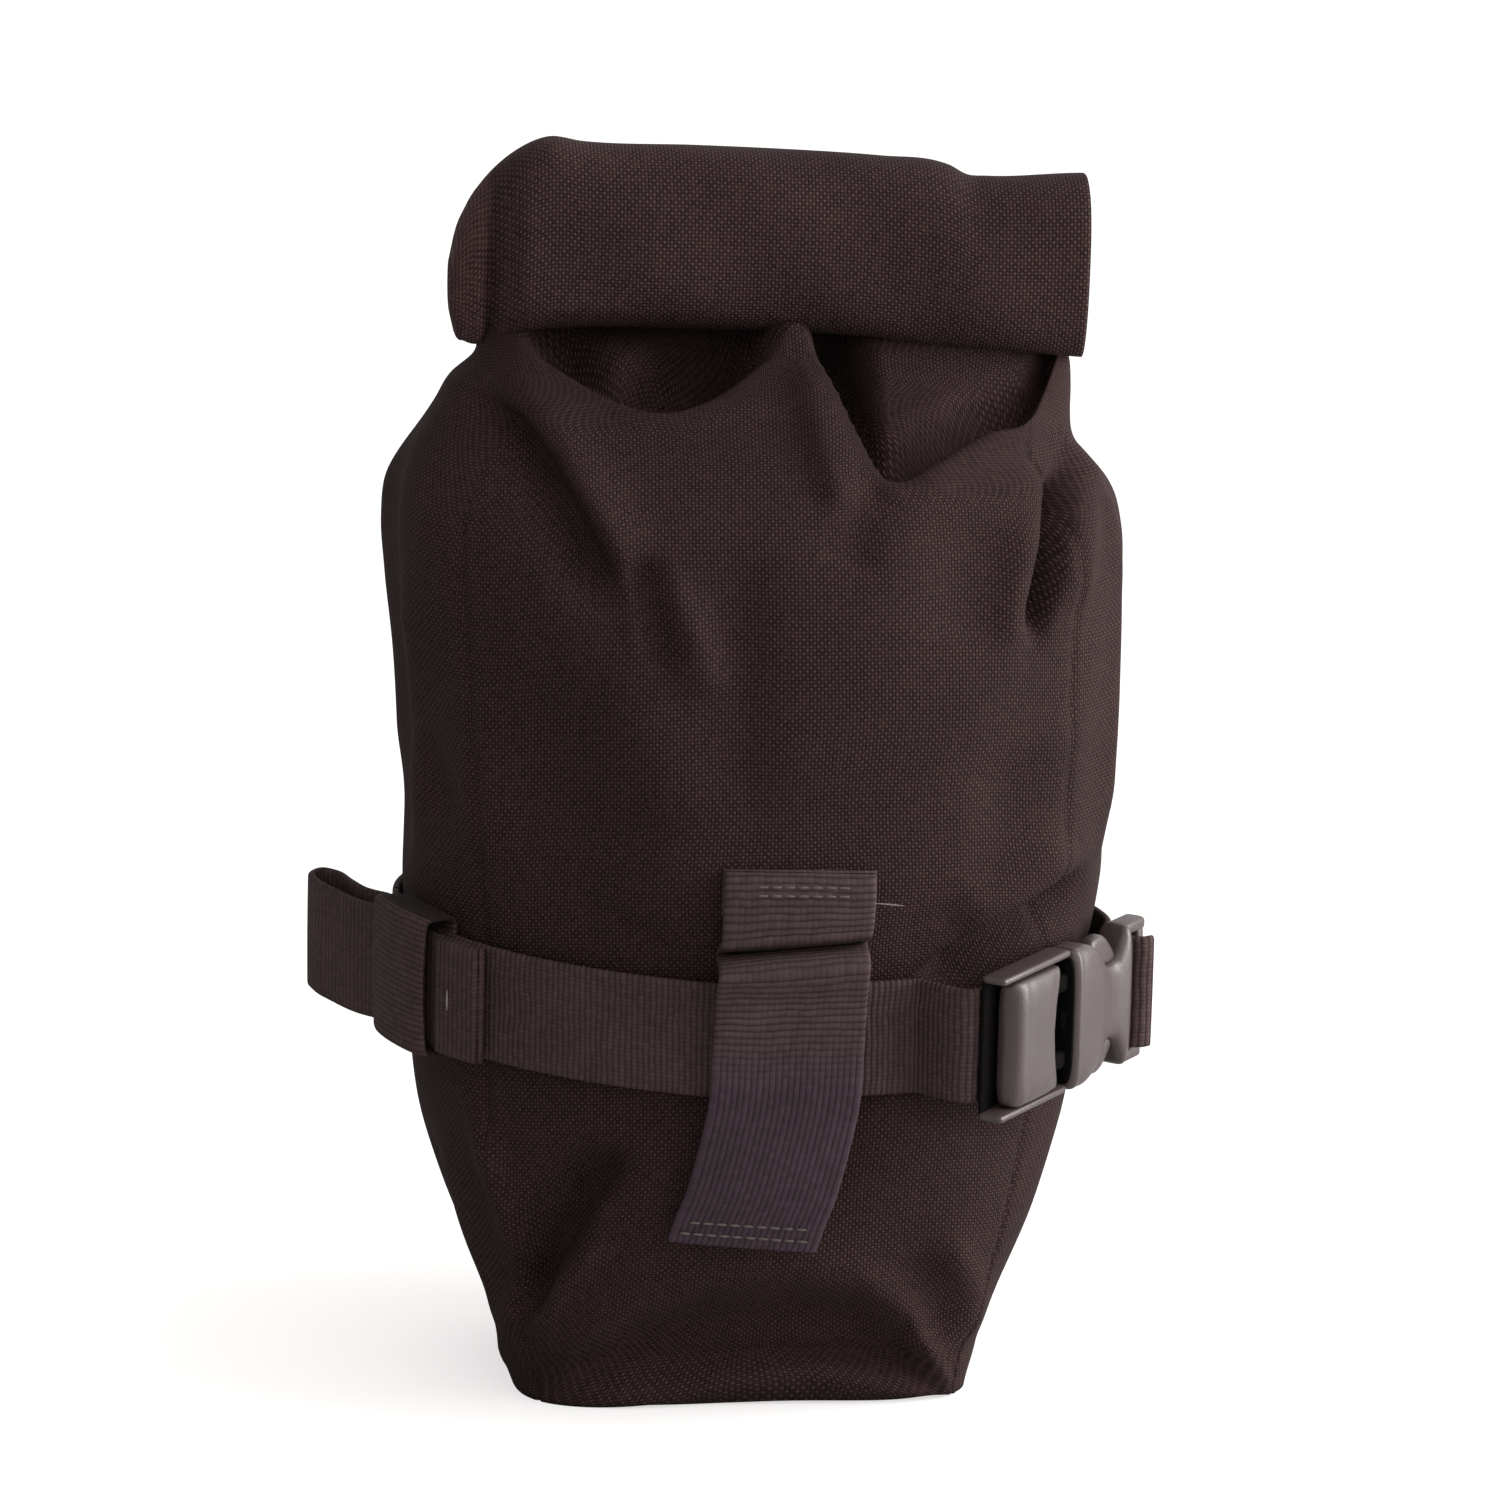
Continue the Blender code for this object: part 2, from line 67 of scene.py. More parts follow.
# The body's horizontal sections: height, left half width, right half width, front depth, back depth, power.
BODY = np.array((
    (0, 40.6, 38.8, 27, 27, 4.6),
    (4, 42.2, 40.2, 28.7, 28.5, 4.3),
    (9, 43.8, 41.6, 30.7, 30, 3.8),
    (18, 46.8, 45.6, 34, 33.5, 3.2),
    (33, 52.4, 51.8, 39, 38.5, 2.6),
    (46, 56, 55.4, 42, 41.5, 2.3),
    (58, 57.8, 57.8, 42.9, 42.8, 2.2),
    (72, 58, 58.6, 42.2, 42.3, 2.2),
    (86, 59.4, 61, 43.6, 43.2, 2.2),
    (98, 59.8, 62.2, 45, 44.4, 2.3),
    (112, 60, 62.6, 45.6, 45, 2.3),
    (127, 60.8, 62.8, 45.8, 45, 2.4),
    (141, 62.6, 62.9, 44.6, 44.6, 2.4),
    (150, 63.4, 62.6, 41.8, 42.6, 2.4),
    (158, 62.6, 60.4, 37.8, 39, 2.4),
    (163, 60.6, 57, 34.6, 35.4, 2.35),
    (167, 58.4, 53.9, 31.8, 31.8, 2.3),
    (172, 55.2, 53.6, 28.2, 27, 2.3),
    (176.5, 52.6, 53.8, 24.8, 22, 2.25),
    (180.5, 48.6, 53.4, 21, 17, 2.2),
    (184, 48.2, 51.8, 18, 13.5, 2.2),
    (188, 48, 50.4, 13, 9.6, 2.2),
    (199, 47.6, 49.6, -5.2, 7.6, 2.2),
))
# The neck's front face, which stands back from the front panel's lip: height and depth in front of X.
NECK = np.array((
    (150, 30), (158, 22), (164, 13), (170, 5), (176, 0.5), (182, -1.5),
    (188, -2.6), (199, -5.2),
))
# The neck behind the right hand pocket, which stands nearly flush with the roll.
RIGHT_NECK = np.array((
    (150, 44), (160, 33), (165, 25), (170, 21.5), (176, 17), (181, 12.6), (184, 9),
    (188, 0.5), (199, -5.2),
))
LIP_DIP = 7.5          # how far the cloth dips behind the lip before it rises into the neck
LIP_REACH = 2.6        # how high over the lip the dip is deepest
SLEEVE_START = 188.0   # from here up the skin is a flat sleeve, hidden in the roll
SLEEVE_END = 199.0
SLEEVE_BACK = 5.2      # the sleeve's Y at its top
SLEEVE_HALF = 2.6      # how far it stands from X at its bottom
# The lip of the front panel under the roll: X and height.
LIP = np.array((
    (-52, 190), (-45, 187.5), (-36, 182), (-27, 177.6), (-18, 176), (-9, 178.6),
    (-1, 183.6), (5, 187.5), (9.5, 182), (14.5, 172.4), (18, 166.6), (21.5, 165.8), (26, 168),
    (35, 172.2), (46.5, 176.4), (50, 182), (54, 190),
))

COLUMNS = 380
ROWS = 300
ROW_SHARES = (0.0, 0.53, 0.94, 1.0)      # rows lie closer together round the lip
ROW_HEIGHTS = (0.0, 158.0, 190.0, 199.0)
CAP_RINGS = 14
BASE_LIFT = 5.0
BASE_HOLLOW = 0.5      # how high the middle of the underside stands
BASE_EDGE_POWER = 30   # the edge's lift dies out towards the middle with this power
SEAM_ANGLES = (38.0, 142.0, 218.0, 322.0)
SEAM_DEPTH = 0.55
PANEL_MIDDLES = (0.0, 90.0, 180.0, 270.0)
LINING_INSETS = (7.6, 8.1)


# --- small tools ------------------------------------------------------------------------------------

def smooth_table(table, value):
    """A column-wise smooth curve through a table whose first column is the place."""
    places = table[:, 0]
    value = np.clip(value, places[0], places[-1])
    index = np.clip(np.searchsorted(places, value) - 1, 0, len(places) - 2)
    columns = []
    for part in range(1, table.shape[1]):
        heights = table[:, part]
        slopes = np.gradient(heights, places)
        step = places[index + 1] - places[index]
        share = (value - places[index]) / step
        columns.append(
            (2 * share**3 - 3 * share**2 + 1) * heights[index]
            + (share**3 - 2 * share**2 + share) * slopes[index] * step
            + (3 * share**2 - 2 * share**3) * heights[index + 1]
            + (share**3 - share**2) * slopes[index + 1] * step
        )
    return columns


def smoothstep(low, high, value):
    share = np.clip((value - low) / (high - low), 0.0, 1.0)
    return share * share * (3 - 2 * share)


def bump(value, middle, width):
    return np.exp(-(((value - middle) / width) ** 2))


def signed_power(value, power):
    return np.sign(value) * np.abs(value) ** power


def grid_faces(rows, columns):
    """The quads of a grid of points, row by row, with the last column joined to the first."""
    return [
        (row * columns + column, row * columns + (column + 1) % columns,
         (row + 1) * columns + (column + 1) % columns, (row + 1) * columns + column)
        for row in range(rows - 1) for column in range(columns)
    ]


def grid_corners(rows, columns):
    """The row and column of each corner of grid_faces, in its order. The last column isn't wrapped."""
    for row in range(rows - 1):
        for column in range(columns):
            yield from ((row, column), (row, column + 1), (row + 1, column + 1), (row + 1, column))


def closing_faces(rows, columns):
    """The quads that join a grid's last row to its first."""
    last = (rows - 1) * columns
    return [
        (last + column, last + (column + 1) % columns, (column + 1) % columns, column)
        for column in range(columns)
    ]


def end_faces(rows, columns):
    """One face over the first row and one over the last."""
    return [tuple(range(columns))[::-1], tuple(range((rows - 1) * columns, rows * columns))]


def make_mesh(name, points, faces, cloth_uv=None):
    """A smooth mesh of points in millimetres. cloth_uv is each corner's place on the cloth, in metres."""
    mesh = bpy.data.meshes.new(name)
    mesh.from_pydata([tuple(p) for p in np.asarray(points) * MM], [], faces)
    if cloth_uv is not None:
        layer = mesh.uv_layers.new(name="cloth")
        layer.data.foreach_set("uv", np.asarray(cloth_uv, dtype=np.float32).ravel())
    mesh.shade_smooth()
    mesh.update()
    return mesh


def face_outwards(mesh):
    shape = bmesh.new()
    shape.from_mesh(mesh)
    bmesh.ops.recalc_face_normals(shape, faces=shape.faces)
    shape.to_mesh(mesh)
    shape.free()
    return mesh


def mesh_of(name, shape):
    """A smooth mesh from a bmesh, which is freed."""
    mesh = bpy.data.meshes.new(name)
    shape.to_mesh(mesh)
    shape.free()
    mesh.shade_smooth()
    return mesh


def tube(name, rings):
    """A closed body through rings of points."""
    points = np.array(rings)
    size = points.shape[:2]
    return face_outwards(make_mesh(name, points.reshape(-1, 3), grid_faces(*size) + end_faces(*size)))


def unit(vectors):
    return vectors / np.linalg.norm(vectors, axis=-1, keepdims=True)


def lengths_along(points):
    """Each point's distance from the start of its line. Lines lie along the last axis but one."""
    steps = np.linalg.norm(np.diff(points, axis=-2), axis=-1)
    return np.concatenate([np.zeros((*steps.shape[:-1], 1)), np.cumsum(steps, axis=-1)], axis=-1)


def points_at(places, points):
    """The points at these distances along a line of points."""
    run = lengths_along(points)
    return np.column_stack([np.interp(places, run, axis) for axis in points.T])


def spline(points, count):
    """Evenly spaced points along a smooth curve through a few."""
    points = np.asarray(points, dtype=float)
    table = np.column_stack([lengths_along(points), points])
    fine = np.column_stack(smooth_table(table, np.linspace(0, table[-1, 0], count * 8)))
    return points_at(np.linspace(0, lengths_along(fine)[-1], count), fine)


def fine_table(table, count):
    """More rows along a smooth curve through a table's few."""
    table = np.array(table, dtype=float)
    places = np.linspace(table[0, 0], table[-1, 0], count)
    return np.column_stack([places] + smooth_table(table, places))


# --- folds ------------------------------------------------------------------------------------------

def along_line(x, z, line):
    """Each point's distance to a line of (x, z) points, its side, and its share of the line's length."""
    line = np.asarray(line, dtype=float)
    lengths = np.hypot(*np.diff(line, axis=0).T)
    total = lengths.sum()
    best = np.full(x.shape, 1e9)
    side = np.zeros(x.shape)
    share = np.zeros(x.shape)
    run = 0.0
    for start, end, length in zip(line, line[1:], lengths):
        along_x, along_z = (end - start) / length
        reach = (x - start[0]) * along_x + (z - start[1]) * along_z
        inside = np.clip(reach, 0.0, length)
        gap_x = x - start[0] - inside * along_x
        gap_z = z - start[1] - inside * along_z
        distance = np.hypot(gap_x, gap_z)
        closer = distance < best
        best = np.where(closer, distance, best)
        side = np.where(closer, np.sign(gap_x * along_z - gap_z * along_x), side)
        share = np.where(closer, (run + inside) / total, share)
        run += length
    return best, side, share


def fold(x, z, line, depth, left, right, ends=0.25):
    """A crease (negative depth) or a ridge along a line, as wide as left and right on its two sides."""
    distance, side, share = along_line(x, z, line)
    width = np.where(side < 0, left, right)
    fade = smoothstep(0.0, ends, share) * smoothstep(0.0, ends, 1 - share)
    profile = np.exp(-((distance / width) ** 2))
    return depth * profile * (0.12 + 0.88 * fade)


# Each fold of the front: the line it follows, how far it stands out, and its widths to the left and right.
FRONT_FOLDS = (
    (((-51, 175), (-43, 171), (-38.5, 166), (-32.5, 156), (-27, 144)), -6.2, 2.6, 4.6),
    (((-46, 186), (-37, 174), (-30, 161), (-24, 148)), 3.2, 4.6, 4.5),
    (((-24.5, 155), (-21, 144), (-18.5, 134)), -2.6, 3.2, 2.2),
    (((-20.5, 153), (-14, 141), (-10, 129)), 1.9, 2.8, 5.5),
    (((-30, 141), (-26, 128), (-16, 108)), 1.5, 8, 9),
    (((-7, 158), (-6.5, 135), (-6, 108)), -1.5, 5, 7),
    (((18.5, 166), (14, 160), (12, 150)), -1.7, 4, 5),
    (((5, 186), (8, 172), (12, 158)), 2.4, 6, 3),
    (((33, 160), (33, 150), (30, 138)), -1.4, 7, 8),
    (((21, 164), (34, 169), (48, 175)), 1.3, 3, 3),
    (((50.5, 166), (47.6, 153), (45.4, 144), (44.4, 137)), -6.5, 1.5, 2.3),
    (((54, 172), (53.5, 155), (51, 140)), 2.2, 2.6, 4),
    (((43, 160), (41, 148), (39, 136)), 1.3, 4, 3),
    (((-58, 122), (-55.5, 112), (-53.5, 104)), -1.4, 2, 3),
    (((-48, 138), (-50, 120), (-47, 96)), 1, 5, 5),
    (((-22, 108), (-20, 98), (-24, 90)), 1.4, 9, 9),
    (((50, 128), (52, 108), (49, 92)), 1.2, 5, 6),
    (((38, 122), (40, 106), (36, 92)), -1, 6, 5),
    (((-25, 36), (-33, 26), (-39.5, 12)), 3.2, 2.6, 2),
    (((-22, 52), (-31, 41), (-37, 26), (-39, 14)), -7, 2.4, 5.5),
    (((-49, 56), (-42.5, 38), (-41, 24), (-42.5, 8)), 3.4, 2, 2.2),
    (((25, 32), (30.5, 22), (33.5, 10)), -1.3, 4, 5),
    (((32, 34), (37.5, 22), (39.5, 8)), 1.4, 3, 3),
    (((12, 60), (22, 52), (38, 50)), 0.8, 6, 6),
    (((24, 80), (36, 85.5), (47, 90.5), (58, 95)), -6.5, 2, 5),
    (((30, 90), (42, 95), (54, 101)), 1.6, 6, 4),
)
# The middle of the front is drawn in below this arch: X and height.
ARCH = np.array((
    (-44, 4), (-34, 12), (-22, 21), (-10, 26.5), (5, 28.5), (17, 26.5), (26, 19),
    (33, 5), (36, -4),
))
ARCH_DEPTH = 6.0
SIDE_FOLDS = (  # (angle, low, high, depth, width in degrees)
    (196, 96, 150, 1.4, 7), (184, 88, 168, -1.5, 6), (170, 100, 170, 1.6, 7),
    (352, 90, 160, -1.4, 6), (342, 96, 172, 1.2, 5), (8, 100, 168, 1.5, 8),
    (200, 8, 52, 1.2, 7), (188, 6, 50, -1.6, 6), (350, 6, 50, -1.3, 7),
    (26, 84, 150, -1.3, 7), (62, 120, 178, -2, 7), (84, 128, 182, 1.8, 8),
    (104, 118, 178, -1.9, 7), (128, 110, 172, 1.6, 8), (92, 20, 58, -1, 12),
    (150, 6, 50, -1.4, 7),
)


def slow_waves(angle, height):
    """Broad uneven swells, so that no part of the cloth is a perfect curve."""
    a = np.radians(angle)
    swell = 0.55 * np.sin(3 * a + height / 17.0) + 0.45 * np.sin(5 * a - height / 23.0 + 1.3)
    swell += 0.30 * np.sin(9 * a + height / 11.0 + 0.6) + 0.22 * np.sin(14 * a - height / 8.5)
    return 0.55 * swell * smoothstep(0, 14, height) * (1 - smoothstep(170, 186, height))


def neck_depth(x, height):
    """How far the neck stands in front of the middle: nearer the lip in the right hand pocket."""
    neck = smooth_table(NECK, height)[0]
    right = smoothstep(10.0, 20.0, x) * (1 - smoothstep(48.0, 54.0, x))
    neck = neck + (smooth_table(RIGHT_NECK, height)[0] - neck) * right
    left = bump(x, -26.0, 9.0) * bump(height, 180.5, 3.5)
    return neck + 12.0 * left


def body_point(angle, height, folded=True):
    """Points of the bag's outer surface, in millimetres, for arrays of angle in degrees and height."""
    left, right, front, back, power = smooth_table(BODY, height)
    cosine, sine = np.cos(np.radians(angle)), np.sin(np.radians(angle))
    half = np.where(cosine < 0, left, right)
    x = half * signed_power(cosine, 2 / power)
    round_share = np.abs(sine) ** (2 / power)
    above_lip = height - smooth_table(LIP, x)[0]
    behind = smoothstep(-0.3, LIP_REACH + 1.6, above_lip)
    facing = smoothstep(0.0, 0.35, -sine)
    dip = LIP_DIP * facing * bump(above_lip, LIP_REACH, 1.9) * (1 - smoothstep(183, 187, height))
    front = front + (np.minimum(neck_depth(x, height), front) - front) * behind
    y = np.where(sine < 0, -front, back) * round_share
    sheet = (height - SLEEVE_START) / (SLEEVE_END - SLEEVE_START)
    sleeve = SLEEVE_HALF * (1 - sheet) * round_share + SLEEVE_BACK * sheet - (1 - round_share) * 0.6
    y = np.where((height > SLEEVE_START) & (sine < 0), sleeve, y)
    out_x = signed_power(cosine, 2 - 2 / power) / half
    out_y = signed_power(sine, 2 - 2 / power) / np.where(sine < 0, np.maximum(front, 12.0), back)
    length = np.hypot(out_x, out_y)
    lift = 0.0
    if folded:
        lift = slow_waves(angle, height) + body_folds(angle, height, x, facing, behind)
    lift = lift * (1 - smoothstep(184, SLEEVE_START, height))
    return x + out_x / length * lift, y + out_y / length * lift, height - dip


def angle_bump(angle, middle, width):
    """One hump round the body, in degrees."""
    return bump((angle - middle + 180.0) % 360.0 - 180.0, 0.0, width)


def body_folds(angle, height, x, facing, behind):
    """How far the creases, ridges and seams lift each point of the skin."""
    lift = np.zeros(x.shape)
    for line, amount, low_side, high_side in FRONT_FOLDS:
        lift += facing * (1 - 0.9 * behind) * fold(x, height, line, amount, low_side, high_side)
    arch = np.interp(x, ARCH[:, 0], ARCH[:, 1]) - height
    lift -= facing * ARCH_DEPTH * smoothstep(0.0, 11.0, arch) * smoothstep(0.0, 9.0, height)
    lift += facing * 0.9 * bump(arch, -1.0, 4.0)
    for at, low, high, amount, width in SIDE_FOLDS:
        tall = smoothstep(low, low + 14, height) * (1 - smoothstep(high - 14, high, height))
        lift += amount * angle_bump(angle, at, width) * tall
    for seam in SEAM_ANGLES:
        lift -= SEAM_DEPTH * angle_bump(angle, seam, 1.0) * (1 - smoothstep(166, 178, height))
    return lift


def base_lift(x, y):
    """The underside is drawn up a little in the middle of the front and the back edge."""
    return BASE_LIFT * bump(x, 8.0, 19.0) * smoothstep(8.0, 26.0, np.abs(y))


def build_shell():
    """The sewn body and the collar as one skin, with the underside drawn in at the bottom."""
    angles = (np.arange(COLUMNS) / COLUMNS * 360.0 + 0.5) % 360.0
    heights = np.interp(np.linspace(0.0, 1.0, ROWS), ROW_SHARES, ROW_HEIGHTS)
    grid_angle, grid_height = np.meshgrid(angles, heights)
    x, y, z = body_point(grid_angle, grid_height)
    z = z + base_lift(x, y) * (1 - smoothstep(0.0, 14.0, grid_height))
    wall = np.stack([x, y, z], axis=2)
    edge_lift = base_lift(wall[0][:, 0], wall[0][:, 1])
    rings = []
    for ring in range(1, CAP_RINGS + 1):
        share = ring / (CAP_RINGS + 1.0)
        flat = wall[0] * np.array((share, share, 0.0))
        flat[:, 2] = BASE_HOLLOW * (1 - share) + edge_lift * share**BASE_EDGE_POWER
        rings.append(flat)
    return angles, np.concatenate([np.array(rings), wall])


def lining_mesh():
    """The lining hangs loose inside the folds of the cloth; it is open at both ends."""
    grid_angle, grid_height = np.meshgrid(np.arange(0, 360, 3.0), np.linspace(3.0, 153.0, 60))
    x, y, _ = body_point(grid_angle, grid_height, folded=False)
    walls = []
    for inset in LINING_INSETS:
        share = 1 - inset / np.hypot(x, y)
        walls.append(np.stack([x * share, y * share, grid_height + 3.0], axis=2))
    points = np.concatenate([walls[0], walls[1][::-1]])
    rows, columns = points.shape[:2]
    faces = grid_faces(rows, columns) + closing_faces(rows, columns)
    return face_outwards(make_mesh("lining_cloth", points.reshape(-1, 3), faces))


def spread_out(values, reach, axis, mode):
    """A moving average along an axis, so that one crease doesn't bend the yarns of a whole panel."""
    pads = [(0, 0), (0, 0)]
    pads[axis] = (reach, reach)
    padded = np.pad(values, pads, mode=mode)
    count = 2 * reach + 1
    moved = (np.take(padded, range(step, step + values.shape[axis]), axis=axis) for step in range(count))
    return sum(moved) / count


def cloth_places(points):
    """Each point's place on the cloth: along its row from the row's start, and up its column."""
    closed = np.concatenate([points, points[:, :1]], axis=1)
    run = spread_out(lengths_along(closed), 20, 0, "edge")
    up = np.zeros(points.shape[:2])
    rise = np.linalg.norm(np.diff(points, axis=0), axis=2)
    up[1:] = np.cumsum(spread_out(rise, 40, 1, "wrap"), axis=0)
    return run, up


def panel_of(angle):
    """The number of the panel at an angle: the right gusset, back, left gusset or front."""
    return sum(angle >= seam for seam in SEAM_ANGLES) % len(SEAM_ANGLES)


def shell_mesh():
    """The skin, with each panel's weave laid from the panel's own middle."""
    angles, points = build_shell()
    rows, columns = points.shape[:2]
    run, up = cloth_places(points)
    middles = [
        int(((PANEL_MIDDLES[panel_of(angle)] - angles[0]) % 360.0) / 360.0 * columns) % columns
        for angle in angles
    ]
    faces = grid_faces(rows, columns)
    uv = []
    for number, (row, column) in enumerate(grid_corners(rows, columns)):
        middle = middles[number // 4 % columns]     # four corners to a face
        total = run[row, -1]
        place = (run[row, column] - run[row, middle] + total / 2) % total - total / 2
        uv.append((place * MM, up[row, column % columns] * MM))
    bottom = tuple(range(columns))[::-1]
    faces.append(bottom)
    uv.extend((points[0, vertex, 0] * MM, points[0, vertex, 1] * MM) for vertex in bottom)
    return make_mesh("bag_cloth", points.reshape(-1, 3), faces, uv)


# --- the roll ---------------------------------------------------------------------------------------

ROLL_SPAN = np.array((  # X, lowest and highest height of the outer lap
    (-53, 187.6, 196.5), (-52.3, 184.6, 200.5), (-50.4, 182.9, 205.8), (-47.6, 182.6, 210.4),
    (-44.5, 183.6, 213.9), (-41.5, 184.8, 216.2), (-37, 185.6, 218), (-31, 185.9, 217.2),
    (-12, 185.9, 217), (4, 185.2, 216.1), (20, 184.2, 215.2), (29.5, 183.2, 214.5),
    (31.5, 182.9, 213.9), (34.5, 182.6, 212.3), (38, 182.3, 212), (54.6, 180.9, 212.2),
))
ROLL_Y = -4.0
ROLL_HALF_DEPTH = 9.6
ROLL_POWER = 2.55
ROLL_COLUMNS = 150
ROLL_RIM = ((53.9, 54.4, 54.6), (0.0, 0.25 / 12, 0.7 / 12))   # X, and how far the right edge is drawn in
ROLL_LAPS = 3.6
LAP_RINGS = 72


def roll_ring(x, angles):
    """The Y and the height of one ring of the roll at an X."""
    low, high = (value[0] for value in smooth_table(ROLL_SPAN, np.array([x])))
    left_end = smoothstep(-40.0, -53.0, x)
    depth = ROLL_HALF_DEPTH * (1 - 0.35 * left_end)
    y = ROLL_Y + 4.2 * left_end + depth * signed_power(np.cos(angles), 2 / ROLL_POWER)
    return y, (low + high) / 2 + (high - low) / 2 * signed_power(np.sin(angles), 2 / ROLL_POWER)


def roll_grid():
    """The outer lap: flat in front, with a puffed left end that turns back and a square right end."""
    angles = np.linspace(0.0, math.tau, ROLL_COLUMNS, endpoint=False)
    front = smoothstep(0.0, 0.5, -np.cos(angles))
    crease = front * (0.45 + 0.55 * smoothstep(0.9, -0.6, np.sin(angles)))
    rings = []
    for x in (*np.linspace(-53.0, -38.0, 40), *np.linspace(-37.5, 53.9, 120), 54.4, 54.6):
        y, z = roll_ring(x, angles)
        y += 3.2 * bump(x, -46.3, 1.0) * crease
        y += 0.35 * np.sin(x / 9.0 + 2 * angles) + 0.22 * np.sin(x / 4.3 - angles * 3)
        y -= 0.5 * bump(z, 190.0, 2.2) * bump(x, -30.0, 12.0) * front
        y = ROLL_Y + (y - ROLL_Y) * (1 - np.interp(x, *ROLL_RIM))
        rings.append(np.stack([np.full(ROLL_COLUMNS, x), y, z + 0.2 * np.sin(x / 7.0)], axis=1))
    return np.array(rings), angles


def lap_rings(outer, angles, side, deep):
    """Rings from an end's edge to its middle, sunk between the wound laps so that they read as a spiral."""
    centre = outer.mean(axis=0)
    for share in np.linspace(1.0, 0.04, LAP_RINGS)[1:]:
        ring = centre + (outer - centre) * share
        lap = (ROLL_LAPS * (1 - share) + angles / math.tau) % 1.0
        gap = smoothstep(0.62, 0.74, lap) * (1 - smoothstep(0.90, 1.0, lap))
        ring[:, 0] -= side * (deep * gap * smoothstep(1.0, 0.94, share) + 0.9 * (1 - share))
        yield ring


def roll_mesh():
    """The roll's skin, with its two wound ends."""
    points, angles = roll_grid()
    rows, columns = points.shape[:2]
    around = lengths_along(np.concatenate([points, points[:, :1]], axis=1))[rows // 2]
    faces = grid_faces(rows, columns)
    uv = [(points[row, 0, 0] * MM, around[column] * MM) for row, column in grid_corners(rows, columns)]
    flat = [tuple(p) for p in points.reshape(-1, 3)]
    for end, side, deep, order in ((0, -1.0, 0.9, 1), (rows - 1, 1.0, 2.6, -1)):
        before = range(end * columns, (end + 1) * columns)
        cap = []
        for ring in lap_rings(points[end], angles, side, deep):
            after = range(len(flat), len(flat) + columns)
            flat.extend(tuple(p) for p in ring)
            for column in range(columns):
                beyond = (column + 1) % columns
                cap.append((before[column], before[beyond], after[beyond], after[column])[::order])
            before = after
        cap.append(tuple(before)[::order])
        faces += cap
        uv.extend((flat[v][1] * MM, flat[v][2] * MM) for face in cap for v in face)
    return make_mesh("roll_cloth", flat, faces, uv)


# --- webbing ----------------------------------------------------------------------------------------

RIBBON_ACROSS = 17     # points across each face of a strip of webbing
RIBBON_EDGE = 5        # points round each rounded edge


def ribbon(name, centres, sides, width, thickness, crown=0.10):
    """A strip of webbing with rounded edges. Its UV runs along it and across it, in metres."""
    centres = np.asarray(centres, dtype=float)
    sides = np.asarray(sides, dtype=float)
    outward = unit(np.cross(unit(np.gradient(centres, axis=0)), sides))
    half, edge = width / 2, thickness / 2
    profile = []
    for face in (1, -1):
        for share in np.linspace(-face, face, RIBBON_ACROSS):
            profile.append((share * (half - edge), face * edge * (1 + crown * (1 - share**2)), share))
        for turn in np.radians(np.linspace(60 * face, -60 * face, RIBBON_EDGE)):
            profile.append((face * (half - edge + edge * math.cos(turn)), edge * math.sin(turn), face))
    side, out, share = np.array(profile).T
    points = centres[:, None] + sides[:, None] * side[:, None] + outward[:, None] * out[:, None]
    rows, columns = points.shape[:2]
    corners = [*grid_corners(rows, columns), *((0, column) for column in reversed(range(columns)))]
    corners += [(rows - 1, column) for column in range(columns)]
    run = lengths_along(centres)
    uv = [(run[row] * MM, share[column % columns] * half * MM) for row, column in corners]
    faces = grid_faces(rows, columns) + end_faces(rows, columns)
    return face_outwards(make_mesh(name, points.reshape(-1, 3), faces, uv))


STRAP_WIDTH = 20.0
STRAP_THICK = 1.3
STRAP_OFFSET = 2.0      # how far the strap's middle stands off its ring
LOOP_WIDTH = 25.6


def strap_height(x, y):
    """The strap's middle climbs a little towards the left."""
    return 71.8 + 0.075 * np.maximum(-x - 8.0, 0.0) - 0.02 * np.maximum(y, 0.0)


def ring_point(angle, offset):
    """Points on the strap's ring, offset outwards from the body at the strap's height."""
    angle = np.radians(np.asarray(angle, dtype=float))
    cosine, sine = np.cos(angle), np.sin(angle)
    left, right, front, back, power = (v[0] for v in smooth_table(BODY, np.array([60.0])))
    half = np.where(cosine < 0, left, right) + 0.6
    deep = np.where(sine < 0, front, back) + 0.6
    x = half * signed_power(cosine, 2 / power)
    y = deep * signed_power(sine, 2 / power)
    out_x = signed_power(x / half, power - 1) / half
    out_y = signed_power(y / deep, power - 1) / deep
    length = np.hypot(out_x, out_y)
    x = x + offset * out_x / length
    y = y + offset * out_y / length
    return np.stack([x, y, strap_height(x, y)], axis=-1)


def strap_line(start, end, count, offset=STRAP_OFFSET + 0.4):
    return ring_point(np.linspace(start, end, count), offset)


def strap_piece(name, path, wider=0.0, thickness=STRAP_THICK):
    """An upright strip along a path of its middle."""
    return ribbon(name, path, np.tile((0.0, 0.0, 1.0), (len(path), 1)), STRAP_WIDTH + wider, thickness)


def strap_front_mesh():
    return strap_piece("strap_front_web", strap_line(267, 178, 90))


BUCKLE_TURN = math.radians(53.0)       # the buckle's line, turned from X towards the back
BUCKLE_START = (39.3, -47.8, 71.5)     # where its distances start


def buckle_place(distance, depth, rise=0.0):
    """A point from a distance along the buckle, a depth outwards and a height over the strap's middle."""
    x, y, z = BUCKLE_START
    cosine, sine = math.cos(BUCKLE_TURN), math.sin(BUCKLE_TURN)
    return (x + distance * cosine + depth * sine, y + distance * sine - depth * cosine, z + rise)


